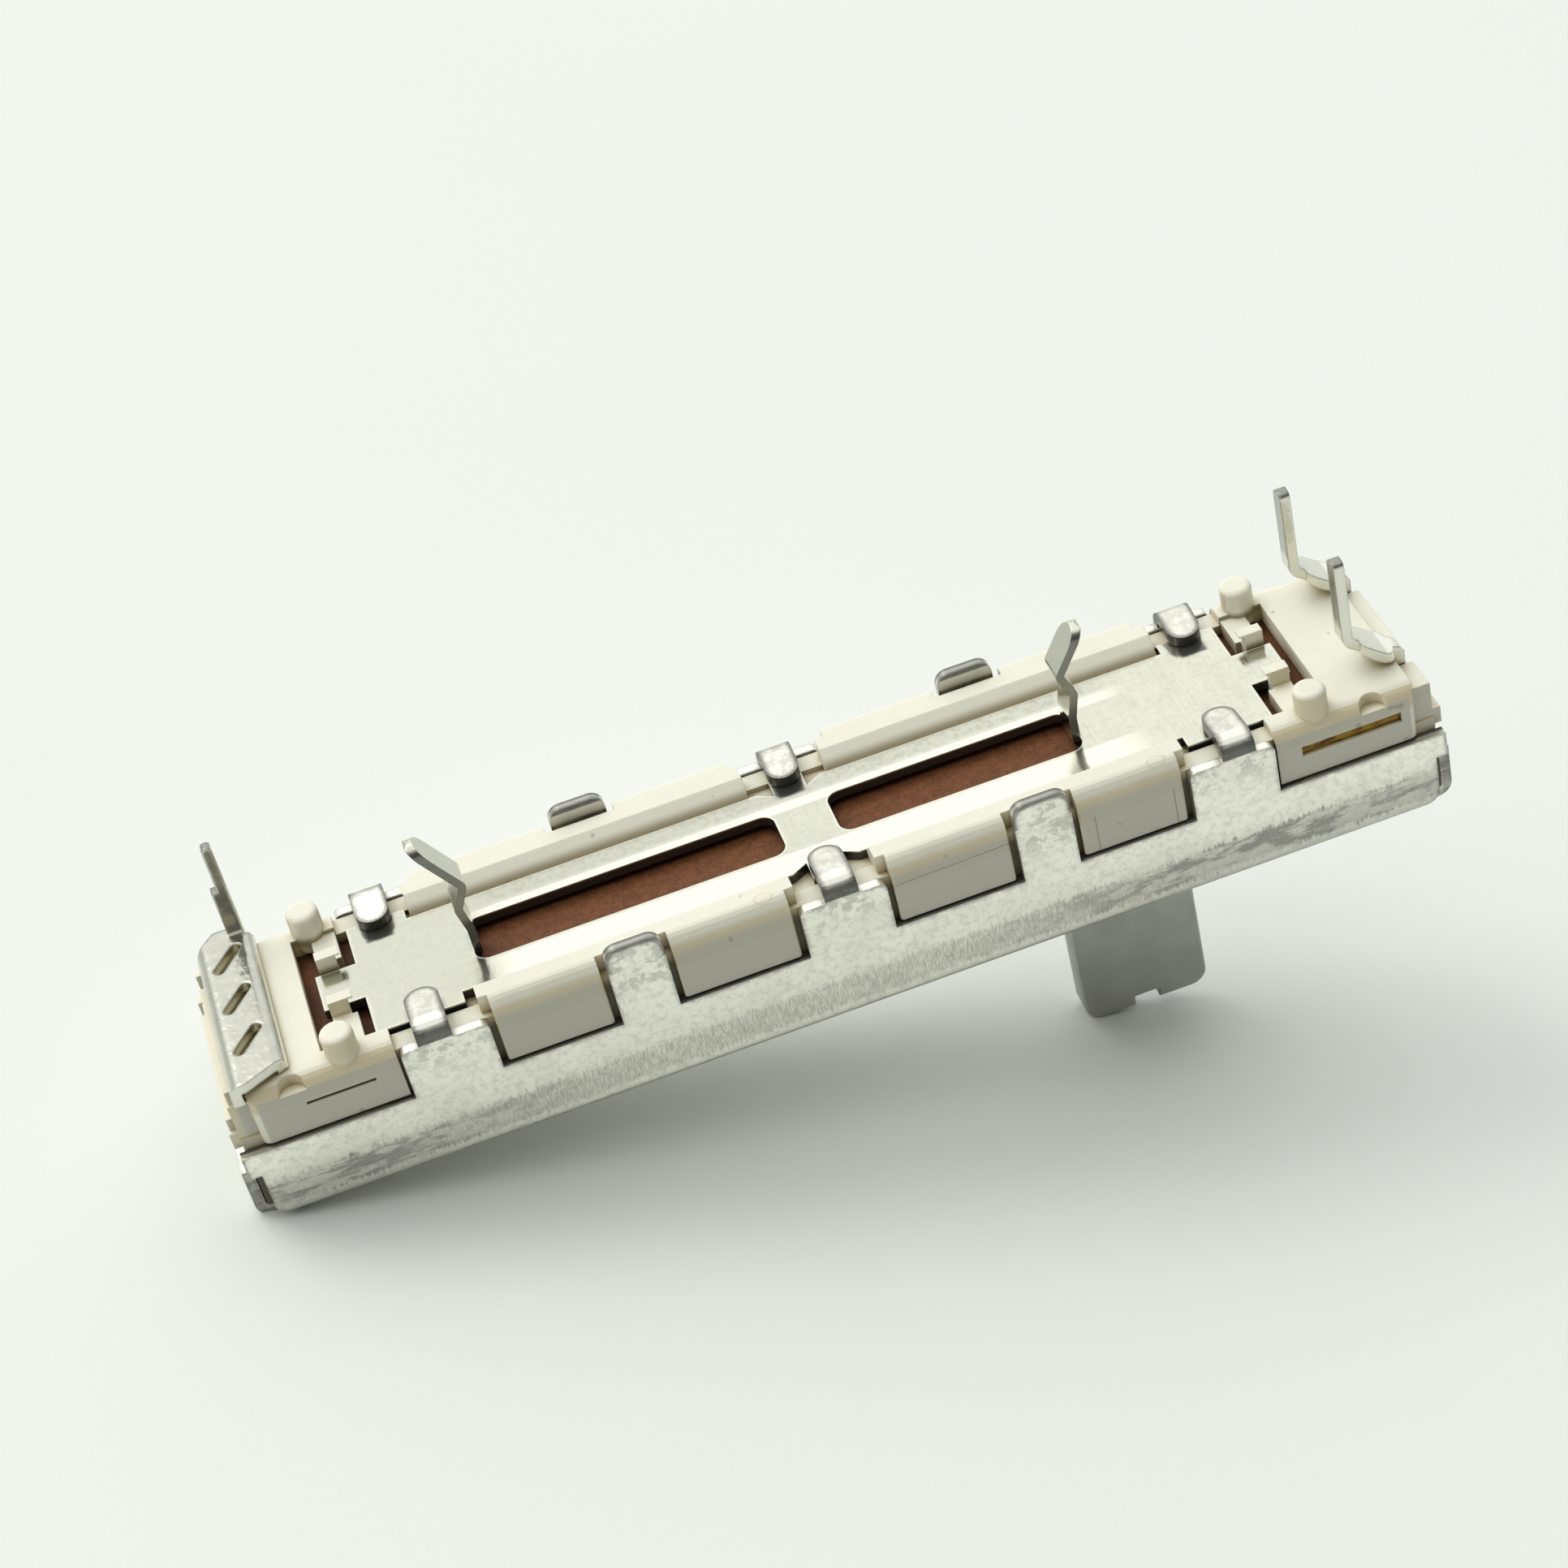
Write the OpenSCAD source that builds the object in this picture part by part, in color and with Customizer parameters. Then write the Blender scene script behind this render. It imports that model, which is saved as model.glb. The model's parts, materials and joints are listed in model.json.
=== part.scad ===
// Slide potentiometer, lying terminals up: +X along the travel, -Z out of the panel face.
// The origin is the centre of the case's panel face.

/* [Case] */
// Travel of the lever from stop to stop
travel = 30; // [20:1:60]
// Length of the case beyond the travel
end_room = 15; // [14.6:0.2:18]
// Width over the side walls
case_w = 8.7; // [8.4:0.1:10]
// Thickness of the case's sheet
sheet_t = 0.4; // [0.3:0.05:0.5]
// Inner radius of the long folds
fold_r = 0.12; // [0.05:0.01:0.3]
// Height of the low stretches of wall
sill_h = 3.3; // [3:0.1:3.6]
// Height of the notch at each wall's end
end_notch_h = 2.3; // [1.5:0.1:2.6]
// Depth of that notch
end_notch_d = 0.45; // [0.3:0.05:0.8]
// Cut at the lower corners of the walls
corner_cut = 0.6; // [0.3:0.05:0.9]
// Width of the folded end flaps
flap_w = 7.6; // [6:0.1:7.7]
// Height of the flaps
flap_h = 2.2; // [1.6:0.1:3]
// How far a flap stands out past the walls
flap_out = 0.25; // [0.05:0.05:0.3]
// Inner radius of the flap's fold
flap_fold_r = 0.15; // [0.1:0.05:0.4]

/* [Tabs and clips] */
// Distance of the rounded tabs from the middle
tab_x = 7.49; // [7:0.05:8]
// Width of a tab
tab_w = 2.1; // [1.6:0.1:2.6]
// Height of a tab above the bottom plate
tab_rise = 1.12; // [0.8:0.02:1.4]
// Corner radius of a tab
tab_r = 0.5; // [0.2:0.05:0.7]
// Distance of the front end clips from the case's end
clip_front_in = 7.95; // [7.4:0.05:8.4]
// Distance of the rear end clips from the case's end
clip_rear_in = 6.9; // [6.6:0.05:7.4]
// Width of wall under a front clip and under the middle ones
pad_front_w = 3.2; // [2.6:0.1:3.4]
// Width of wall under a rear clip
pad_rear_w = 2.7; // [2.4:0.1:3]
// Drop of the clip's shoulders below the bottom plate's top
shoulder_drop = 0.1; // [0.05:0.05:0.3]
// Corner radius of the shoulders
shoulder_r = 0.25; // [0.1:0.05:0.4]
// Width of a clip's strip
strip_w = 1.25; // [0.9:0.05:1.5]
// Bend radius of the strip
strip_fold_r = 0.2; // [0.1:0.02:0.3]
// Height of the strip's crown above the bottom plate
strip_crown = 0.72; // [0.6:0.02:0.9]
// Lap of a front strip over the bottom plate's ears
strip_front_lap = 1; // [0.5:0.05:1.1]
// Lap of a rear strip over the bottom plate's ears
strip_rear_lap = 0.65; // [0.5:0.05:1.1]
// Shift of the outer front strips towards the case's ends
strip_shift = 0.3; // [0:0.05:0.5]
// Gap left between a strip and the ear under it
strip_gap = 0.03; // [0.02:0.01:0.06]

/* [Panel side] */
// Clearance between the lever and the slot's sides
slot_side_gap = 0.3; // [0.15:0.05:0.5]
// Clearance between the lever and the slot's ends at full travel
slot_end_gap = 0.5; // [0.4:0.05:0.7]
// Core radius of the tapped M3 holes
screw_r = 1.25; // [1.2:0.01:1.3]
// Distance of the holes from the case's ends
screw_in = 2; // [1.9:0.05:2.1]
// Height of the drawn collar round a hole
collar_h = 0.9; // [0.6:0.1:1.4]
// Wall of the collar
collar_wall = 0.3; // [0.2:0.05:0.35]

/* [Frame] */
// Clearance between the frame and the case's walls
fit_gap = 0.05; // [0.02:0.01:0.08]
// Gap between a rail block and the sides of its window
window_gap = 0.25; // [0.15:0.05:0.35]
// Gap above the sill of a window
sill_gap = 0.1; // [0.05:0.05:0.25]
// Setback of the rail blocks' faces from the wall's face
rail_set = 0.15; // [0.05:0.05:0.25]
// Height of the rails above the bottom plate
rail_rise = 0.57; // [0.3:0.05:0.7]
// Width of a rail over its face and top
rail_w = 1.2; // [1:0.05:1.3]
// Height of the rounded shoulder on a front rail's outer side
rail_shoulder_h = 1; // [0.5:0.05:1.3]
// Width of that shoulder
rail_shoulder_w = 0.55; // [0.3:0.05:0.7]
// Radius of a rear rail's outer top edge
rail_rear_r = 0.2; // [0.1:0.05:0.5]
// Cut at the outer corners of a rail block
rail_cut = 0.08; // [0.05:0.01:0.15]
// Gap between a tab and the rail behind it
tab_gap = 0.3; // [0.1:0.05:0.4]
// How far a rail runs on behind the pads beside its window
rail_over = 0.35; // [0.1:0.05:0.4]
// Drop of the frame beside the clips below the bottom plate's top
clip_seat_drop = 0.2; // [0.15:0.05:0.3]
// Setback of the end blocks' faces from the wall's face
block_set = 0.2; // [0.1:0.05:0.25]
// Height of the end blocks above the bottom plate
block_rise = 0.16; // [0.1:0.02:0.3]
// Radius of an end block's top edges
block_round = 0.6; // [0.2:0.05:0.65]
// Radius of an end block's upright corners
block_corner = 0.35; // [0.2:0.05:0.5]
// Distance of the end blocks' end faces from the case's ends
block_in = 0.9; // [0.8:0.05:1]
// Length of the end blocks over the middle
block_len = 2.9; // [2.4:0.1:3]
// Diameter of the pegs
peg_d = 1.2; // [0.9:0.05:1.4]
// Height of the pegs above the end blocks
peg_rise = 0.98; // [0.6:0.02:1.3]
// Radius of a peg's top edge
peg_round = 0.2; // [0.1:0.02:0.3]
// Distance of the pegs from the case's ends
peg_end_in = 4.53; // [4.2:0.05:4.8]
// Distance of the pegs from the end blocks' faces
peg_side_in = 0.72; // [0.7:0.02:0.8]
// Radius of the half-round notch in an end block's top edge
nick_r = 0.5; // [0.3:0.05:0.6]
// Distance of that notch from the case's end
nick_in = 2.5; // [2:0.1:3]
// Distance of the crossbars from the case's ends
bar_in = 5.4; // [5.3:0.02:5.5]
// Length of a crossbar along the case
bar_len = 0.9; // [0.7:0.05:1]
// Height of the lips beside the plate's tongue
lip_rise = 0.66; // [0.4:0.02:0.9]
// Width of a lip
lip_w = 0.45; // [0.3:0.05:0.6]
// Height of the foot at the frame's ends
foot_t = 0.7; // [0.5:0.05:0.8]
// How far the foot stands out past the walls
foot_out = 0.1; // [0:0.05:0.2]
// Setback of the foot and the ribs from the end blocks' faces
foot_set = 0.35; // [0.2:0.05:0.5]
// Height of the ribs on the end faces above the foot
rib_h = 1.2; // [0.8:0.1:1.4]
// Depth of those ribs
rib_d = 0.7; // [0.5:0.05:0.8]
// Gap between the plate's end edges and the ledge under the plate
ledge_gap = 0.4; // [0.2:0.05:0.6]
// Drop of the slits in the end blocks' faces below the board's upper face
slit_drop = 0.36; // [0.3:0.02:0.44]
// Height of the right end's slits
slit_right_h = 0.42; // [0.2:0.02:0.5]
// Height of the left end's slits
slit_left_h = 0.12; // [0.08:0.02:0.3]
// Length of the left end's slits
slit_left_len = 2.5; // [1.5:0.1:3]

/* [Board and tracks] */
// Height of the board's track face above the panel face
board_z = 4.1; // [4:0.05:4.4]
// Thickness of the board
board_t = 0.8; // [0.7:0.05:1]
// Width of the board between the rails
board_w = 6.2; // [5.9:0.1:6.6]
// Skin of the moulding over the board's wide ends
board_skin = 0.15; // [0.1:0.01:0.2]
// Distance of the board's ends from the end blocks' faces
board_in = 0.6; // [0.4:0.05:0.7]
// Clearance of the moulding round the board
mould_gap = 0.02; // [0.01:0.01:0.04]
// Thickness of the printed films
film_t = 0.05; // [0.03:0.01:0.08]
// Width of a track
track_w = 1.2; // [0.9:0.05:1.4]
// Distance of the tracks from the middle line
track_y = 1.6; // [1.4:0.05:1.7]
// Length of the electrodes
electrode_len = 1.5; // [1:0.1:1.8]
// Width over the electrodes
electrode_w = 7.2; // [6.8:0.1:7.4]
// Gap between films that are not joined
electrode_gap = 1.2; // [0.8:0.1:1.6]

/* [Bottom plate] */
// Thickness of the plate
plate_t = 0.4; // [0.3:0.05:0.5]
// Gap between the board and the plate
plate_gap = 0.24; // [0.2:0.02:0.4]
// Width of the plate between the rails
plate_w = 4.8; // [4.6:0.1:5]
// Width of the plate over its ears
ear_w = 5.9; // [5.6:0.1:6]
// Length of an end ear on the inner side of its clip
ear_before = 1.1; // [0.9:0.05:1.2]
// Width of the relief notch on each side of a middle ear
relief_w = 0.6; // [0.4:0.05:0.7]
// Depth of that notch
relief_d = 0.35; // [0.2:0.05:0.5]
// Distance of the plate's end edges from the case's ends
plate_in = 5.8; // [5.7:0.05:6]
// Width of the tongue at each end
tongue_w = 1.9; // [1.6:0.05:2]
// Length of the tongue
tongue_len = 1.5; // [1.4:0.05:1.6]
// Clearance of the tongue between its lips
tongue_gap = 0.05; // [0.03:0.01:0.1]
// Width of the two windows
port_w = 2.3; // [2:0.05:2.5]
// Width of the bridge between the windows
bridge_w = 2.04; // [1.6:0.02:2.4]
// Corner radius of the windows
port_r = 0.5; // [0.2:0.05:0.8]
// Distance from the middle to the left window's outer end
port_left = 12.6; // [12:0.1:13]
// Distance from the middle to the right window's outer end
port_right = 10.26; // [9.8:0.02:11]

/* [Snap-in lugs] */
// Thickness of a lug
lug_t = 0.3; // [0.2:0.02:0.4]
// Width of a lug
lug_w = 1.2; // [0.9:0.05:1.5]
// Height of the left lug above the plate
lug_left_h = 5.1; // [4.6:0.05:5.6]
// Height of the right lug above the plate
lug_right_h = 4.6; // [4.2:0.05:5.6]
// Height of the knee that grips the circuit board
knee_h = 2; // [1.8:0.1:2.2]
// How far the knee stands out
knee_out = 0.2; // [0.1:0.02:0.3]
// Height of the throat above the knee
throat_h = 2.95; // [2.8:0.05:3.2]
// How far the tip leans out per unit of its height
tip_lean = 0.62; // [0.4:0.02:0.7]
// Inner radius of the lug's bends
lug_fold_r = 0.1; // [0.05:0.01:0.2]

/* [Terminals] */
// Thickness of the terminals
term_t = 0.4; // [0.3:0.02:0.42]
// Inner radius of the terminals' tight bends
term_fold_r = 0.05; // [0.03:0.01:0.1]
// Clearance of a terminal from what it lies on
term_gap = 0.03; // [0.02:0.01:0.06]
// Height of the right pins above the bottom plate
pin_h = 5; // [4.5:0.1:5.5]
// Width of a pin
pin_w = 0.65; // [0.5:0.05:0.75]
// Corner radius of the right pins' tips
pin_r = 0.26; // [0.1:0.02:0.3]
// Distance of the right pins from the case's end
pin_in = 2.5; // [2.3:0.05:2.7]
// Place of the right rear terminal across the case
term_rear_y = 2.8; // [2.6:0.05:2.9]
// Place of the right front terminal across the case
term_front_y = -2; // [-2.2:0.05:-1.8]
// Height of the right pins' bend above the end block
elbow_h = 1.35; // [1.1:0.05:1.5]
// Radius of that bend
elbow_r = 0.45; // [0.3:0.05:0.6]
// Width of the right terminals' feet
foot_w = 1.5; // [0.9:0.05:1.6]
// Width of the straps that go down the end faces
strap_w = 0.7; // [0.5:0.05:0.8]
// Reach of the hooks under the board
hook_len = 1.9; // [1.6:0.05:2]
// Distance of the left terminal's inner edge from the case's end
tray_in = 2.45; // [2.2:0.05:2.6]
// Height of the left terminal's plate above the end block
tray_rise = 0.62; // [0.5:0.02:0.8]
// Drop of the left terminal's outer edge below the end block's top
tray_drop = 0.3; // [0.2:0.02:0.32]
// Reach of the left terminal to the rear
tray_rear = 4.25; // [4:0.05:4.3]
// Reach of the left terminal to the front
tray_front = 4.1; // [3.9:0.05:4.2]
// Length of the cut at the left terminal's front inner corner
tray_cut = 1.5; // [1:0.1:1.8]
// Length of the cut at the left terminal's rear outer corner
tray_rear_cut = 0.8; // [0.5:0.05:1]
// Height of the left pin above the bottom plate
left_pin_h = 4.75; // [4.3:0.05:5.2]
// Distance of the left pin from the terminal's inner edge
left_pin_in = 0.05; // [0:0.05:0.2]
// Width of the left pin
left_pin_w = 0.6; // [0.5:0.05:0.7]
// Width of the left pin's upper end
left_tip_w = 0.38; // [0.3:0.02:0.46]
// Length of that upper end
left_tip_len = 2; // [1.2:0.1:2.4]
// Corner radius of the left pin's tip
left_tip_r = 0.15; // [0.05:0.01:0.18]
// Number of slots in the left terminal
claw_count = 3; // [2:1:3]
// Distance between the slots
claw_pitch = 2.25; // [2:0.05:2.3]
// Place of the middle slot across the case
claw_y = 0.35; // [0.2:0.05:0.5]
// Length of a slot
claw_len = 1.6; // [1.2:0.05:1.7]
// Width of a slot
claw_w = 0.45; // [0.3:0.05:0.5]
// Corner radius of a slot
claw_r = 0.2; // [0.1:0.02:0.22]
// Slant of the slots
claw_angle = 52; // [45:1:60]

/* [Lever and carriage] */
// Place of the lever along the case
lever_x = 10.95; // [-15:0.05:15]
// Width of the lever
lever_w = 4.9; // [4:0.1:5]
// Thickness of the lever
lever_t = 1.2; // [1:0.1:1.4]
// Length of the lever below the panel face
lever_h = 8; // [6:0.5:15]
// Corner radius of the lever's tip
lever_r = 0.65; // [0.3:0.05:1]
// Width of the notch in the tip
notch_w = 0.95; // [0.6:0.05:1.2]
// Depth of the notch
notch_d = 0.42; // [0.3:0.02:0.6]
// Depth of the lever in the carriage
lever_grip = 1.8; // [1.4:0.1:2]
// Wall of the carriage at the lever's ends
carriage_wall = 0.5; // [0.4:0.05:0.55]
// Width of the carriage over its runners
carriage_w = 5; // [4.8:0.1:5.3]
// Height of the carriage
carriage_h = 2.5; // [2.3:0.05:2.7]
// Length of a runner
runner_len = 1.3; // [1:0.1:1.6]
// Depth of the carriage's waist between the runners
waist_d = 0.3; // [0.2:0.05:0.4]
// Running clearance of the carriage
run_gap = 0.05; // [0.03:0.01:0.08]
// Gap between the carriage and the trough's ends at full travel
stop_gap = 0.15; // [0.1:0.05:0.2]

/* [Wiper] */
// Thickness of the wiper
wiper_t = 0.15; // [0.1:0.01:0.2]
// Length of the wiper's base
wiper_base = 2.2; // [1.8:0.1:2.4]
// Width of a finger
finger_w = 0.4; // [0.3:0.02:0.45]
// Gap between two fingers
finger_gap = 0.2; // [0.1:0.02:0.3]
// Length of a finger up to its contact
finger_len = 2.3; // [1.8:0.1:2.5]
// Gap left between a finger and its track
contact_gap = 0.03; // [0.02:0.01:0.05]
// Diameter of the stakes that hold the wiper
stake_d = 0.7; // [0.5:0.05:0.8]
// Height of the stakes above the wiper
stake_rise = 0.15; // [0.1:0.05:0.25]

/* [Hidden] */
$fn = 48;
FRONT = -1;
REAR = 1;
LEFT = -1;
RIGHT = 1;
// Overshoot of the cutting shapes
over = 1;
// Steps in a sheet's bend and in a moulded edge
bend_steps = 6;

// Case
half_len = (travel + end_room) / 2;
half_w = case_w / 2;
wall_in = half_w - sheet_t;
wall_mid = half_w - sheet_t / 2;
flap_x = half_len + flap_out;
slot_len = travel + lever_w + 2 * slot_end_gap;
slot_w = lever_t + 2 * slot_side_gap;
screw_x = half_len - screw_in;
collar_r = screw_r + collar_wall;

// Heights of the stack
board_top = board_z + board_t;
plate_z = board_top + plate_gap;
plate_top = plate_z + plate_t;
shoulder_h = plate_top - shoulder_drop;
tab_h = plate_top + tab_rise;
rail_h = plate_top + rail_rise;
block_h = plate_top + block_rise;
sill_top = sill_h + sill_gap;
foot_h = sill_top + foot_t;

// Frame
frame_y = wall_in - fit_gap;
frame_end = flap_x - sheet_t - fit_gap;
rail_y = half_w - rail_set;
rail_in = rail_y - rail_w;
block_y = half_w - block_set;
block_end = half_len - block_in;
block_inner = block_end - block_len;
arm_y = ear_w / 2 + window_gap / 2;
ledge_end = half_len - plate_in - ledge_gap;
foot_x = half_len + foot_out;
foot_y = block_y - foot_set;
deck_y = port_w / 2 + plate_t;
bar_x = half_len - bar_in;
lip_y = tongue_w / 2 + tongue_gap;
trough_half = travel / 2 + lever_w / 2 + carriage_wall + stop_gap;
trough_y = carriage_w / 2 + run_gap;
strap_x = block_end + term_gap + term_t / 2;
hook_z = board_z - film_t - term_gap - term_t / 2;
slot_half = strap_w / 2 + mould_gap;

// Board and films
board_end = block_end - board_in;
board_wide_x = half_len - clip_rear_in + pad_rear_w / 2 + window_gap;
board_wide_y = block_y - board_skin;
film_z = board_z - film_t;
electrode_end = board_end - mould_gap;
electrode_x = electrode_end - electrode_len;

// Left terminal
tray_x = half_len - tray_in;
tray_z = block_h + tray_rise - term_t / 2;
term_bend = term_fold_r + term_t / 2;
left_strap_rear = tray_rear - tray_rear_cut - strap_w / 2;
left_strap_front = strap_w - tray_front;

// Slider
carriage_len = lever_w + 2 * carriage_wall;
carriage_z = sheet_t + run_gap;
carriage_top = carriage_z + carriage_h;
carriage_y = carriage_w / 2;
contact_z = film_z - contact_gap - wiper_t / 2;
stake_y = track_y - stake_d / 2 - wiper_t - finger_w / 2;
stake_x = -carriage_len / 2 + wiper_base / 2 + wiper_t;

tin = [0.78, 0.78, 0.74];
bright = [0.86, 0.86, 0.84];
cream = [0.93, 0.92, 0.84];
phenolic = [0.45, 0.26, 0.15];

function along(a, b) = (b - a) / norm(b - a);
function turned(v, angle) = [v.x * cos(angle) - v.y * sin(angle), v.x * sin(angle) + v.y * cos(angle)];

// The arc that rounds corner b of the path a, b, c
function bend(a, b, c, r) =
    let (
        u = along(b, a),
        v = along(b, c),
        half = acos(u * v) / 2,
        centre = b + along([0, 0], u + v) * r / sin(half),
        start = b + u * r / tan(half) - centre,
        sweep = (180 - 2 * half) * sign(v.x * u.y - v.y * u.x)
    )
    [for (i = [0:bend_steps]) centre + turned(start, sweep * i / bend_steps)];

// A path with its inner points rounded
function bent(path, r) = concat(
    [path[0]],
    [for (i = [1:len(path) - 2]) each bend(path[i - 1], path[i], path[i + 1], r)],
    [path[len(path) - 1]]
);

// Unit normals of the path's stretches, and the offset of one of its points
function normal(path, i) = turned(along(path[i], path[i + 1]), 90);
function shifted(path, i, d) =
    let (
        last = len(path) - 1,
        n1 = normal(path, max(i - 1, 0)),
        n2 = normal(path, min(i, last - 1))
    )
    path[i] + (n1 + n2) * d / (1 + n1 * n2);

// Outline of a sheet of thickness t that follows a path
function ribbon(path, t) = concat(
    [for (i = [0:len(path) - 1]) shifted(path, i, t / 2)],
    [for (i = [len(path) - 1:-1:0]) shifted(path, i, -t / 2)]
);

// A quarter of an ellipse from +Y to +X about a centre, with its two radii
function quarter(centre, rx, ry) = [
    for (i = [0:bend_steps]) centre + [rx * sin(90 * i / bend_steps), ry * cos(90 * i / bend_steps)]
];

module block(low, high) {
    translate(low)
        cube(high - low);
}

// Extrudes a (y, z) outline along X
module along_x(x0, x1) {
    translate([x0, 0, 0])
        rotate([90, 0, 90])
            linear_extrude(x1 - x0)
                children();
}

// Extrudes an (x, z) outline along Y
module along_y(y0, y1) {
    translate([0, y1, 0])
        rotate([90, 0, 0])
            linear_extrude(y1 - y0)
                children();
}

module both_ends() {
    children();
    mirror([1, 0, 0])
        children();
}

module both_sides() {
    children();
    mirror([0, 1, 0])
        children();
}

// Moves a shape that is drawn for the rear side to the given side
module on_side(side) {
    mirror([0, side == FRONT ? 1 : 0, 0])
        children();
}

// A rectangle from low to high with all corners rounded
module round_rect(low, high, r) {
    translate(low + [r, 0])
        square(high - low - [2 * r, 0]);
    translate(low + [0, r])
        square(high - low - [0, 2 * r]);
    for (x = [low.x + r, high.x - r])
        for (y = [low.y + r, high.y - r])
            translate([x, y])
                circle(r);
}

function clip_x(side) = half_len - (side == FRONT ? clip_front_in : clip_rear_in);
function pad_w(side) = side == FRONT ? pad_front_w : pad_rear_w;
function strip_lap(side) = side == FRONT ? strip_front_lap : strip_rear_lap;
function strip_x(side) = clip_x(side) + (side == FRONT ? strip_shift : 0);
function rail_round(side) = side == FRONT ? [rail_shoulder_w, rail_shoulder_h] : [rail_rear_r, rail_rear_r];
function pad_half(side, x) = (x == 0 ? pad_front_w : pad_w(side)) / 2;

// Elevation of one wall: low wall, pads under the clips, and tabs
module wall_outline(side) {
    both_ends()
        polygon([
            [0, 0],
            [half_len - end_notch_d - corner_cut, 0],
            [half_len - end_notch_d, corner_cut],
            [half_len - end_notch_d, end_notch_h],
            [half_len, end_notch_h],
            [half_len, sill_h],
            [0, sill_h]
        ]);
    for (x = [-clip_x(side), 0, clip_x(side)])
        round_rect([x - pad_half(side, x), corner_cut], [x + pad_half(side, x), shoulder_h], shoulder_r);
    for (x = [-tab_x, tab_x])
        round_rect([x - tab_w / 2, corner_cut], [x + tab_w / 2, tab_h], tab_r);
}

module channel() {
    along_x(-half_len, half_len)
        polygon(ribbon(
            bent(
                [[-wall_mid, tab_h], [-wall_mid, sheet_t / 2], [wall_mid, sheet_t / 2], [wall_mid, tab_h]],
                fold_r + sheet_t / 2
            ),
            sheet_t
        ));
}

// A strip that rises from the wall and folds down on the bottom plate
module clip_strip(lap) {
    tip_y = ear_w / 2 - lap;
    crown = plate_top + strip_crown - sheet_t / 2;
    intersection() {
        along_x(-strip_w / 2, strip_w / 2)
            polygon(ribbon(
                bent(
                    [
                        [wall_mid, sill_h],
                        [wall_mid, crown],
                        [tip_y, plate_top + sheet_t / 2 + strip_gap]
                    ],
                    strip_fold_r + sheet_t / 2
                ),
                sheet_t
            ));
        linear_extrude(tab_h + over) {
            translate([-strip_w / 2, tip_y + strip_w / 2])
                square([strip_w, half_w - tip_y]);
            translate([0, tip_y + strip_w / 2])
                circle(strip_w / 2);
        }
    }
}

module end_flap() {
    along_y(-flap_w / 2, flap_w / 2)
        polygon(ribbon(
            bent(
                [
                    [screw_x, sheet_t / 2],
                    [flap_x - sheet_t / 2, sheet_t / 2],
                    [flap_x - sheet_t / 2, flap_h]
                ],
                flap_fold_r + sheet_t / 2
            ),
            sheet_t
        ));
}

module lever_slot() {
    end_x = (slot_len - slot_w) / 2;
    for (x = [-end_x, end_x])
        translate([x, 0, -over])
            cylinder(r = slot_w / 2, h = sheet_t + 2 * over);
    block([-end_x, -slot_w / 2, -over], [end_x, slot_w / 2, sheet_t + over]);
}

module case() {
    color(tin)
        difference() {
            union() {
                for (side = [FRONT, REAR])
                    intersection() {
                        channel();
                        on_side(side)
                            along_y(0, half_w + over)
                                wall_outline(side);
                    }
                for (side = [FRONT, REAR])
                    for (x = [-strip_x(side), 0, strip_x(side)])
                        translate([x, 0, 0])
                            on_side(side)
                                clip_strip(strip_lap(side));
                both_ends()
                    end_flap();
                both_ends()
                    translate([screw_x, 0, 0])
                        cylinder(r = collar_r, h = collar_h);
            }
            lever_slot();
            both_ends()
                translate([screw_x, 0, -over])
                    cylinder(r = screw_r, h = collar_h + 2 * over);
        }
}

// One rail block from x0 to x1, with its outer top edge rounded and its outer corners cut
module rail_block(x0, x1, round) {
    intersection() {
        along_x(x0, x1)
            polygon(concat(
                [[plate_w / 2, plate_z]],
                [[plate_w / 2, plate_top], [rail_in, rail_h]],
                quarter([rail_y, rail_h] - round, round.x, round.y),
                [[rail_y, sill_top], [plate_w / 2, sill_top]]
            ));
        linear_extrude(rail_h + over)
            polygon([
                [x0, 0],
                [x0, rail_y - rail_cut],
                [x0 + rail_cut, rail_y],
                [x1 - rail_cut, rail_y],
                [x1, rail_y - rail_cut],
                [x1, 0]
            ]);
    }
}

// The rail of one window pair, continuous behind the tab and the pads' edges
module rails(side) {
    inner = pad_front_w / 2 + window_gap;
    outer = clip_x(side) - pad_w(side) / 2 - window_gap;
    tab_low = tab_x - tab_w / 2 - window_gap;
    tab_high = tab_x + tab_w / 2 + window_gap;
    start = inner - rail_over;
    end = outer + rail_over;
    round = rail_round(side);
    rail_block(inner, tab_low, round);
    rail_block(tab_high, outer, round);
    intersection() {
        rail_block(start, end, round);
        block([start, 0, 0], [end, wall_in - tab_gap, rail_h]);
    }
}

// Half of one end block, from the clip's pad to the end face
module end_block(side) {
    start = clip_x(side) + pad_w(side) / 2 + window_gap / 2;
    corner = block_end - block_corner;
    intersection() {
        along_x(start, block_end)
            polygon(concat(
                [[0, block_h]],
                quarter([block_y - block_round, block_h - block_round], block_round, block_round),
                [[block_y, sill_top], [0, sill_top]]
            ));
        linear_extrude(block_h)
            polygon(concat(
                [[start, 0], [start, block_y]],
                quarter([corner, block_y - block_corner], block_corner, block_corner),
                [[block_end, 0]]
            ));
    }
}

module peg() {
    rotate_extrude() {
        square([peg_d / 2 - peg_round, peg_rise]);
        translate([0, -block_round])
            square([peg_d / 2, peg_rise + block_round - peg_round]);
        translate([peg_d / 2 - peg_round, peg_rise - peg_round])
            circle(peg_round);
    }
}

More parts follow.
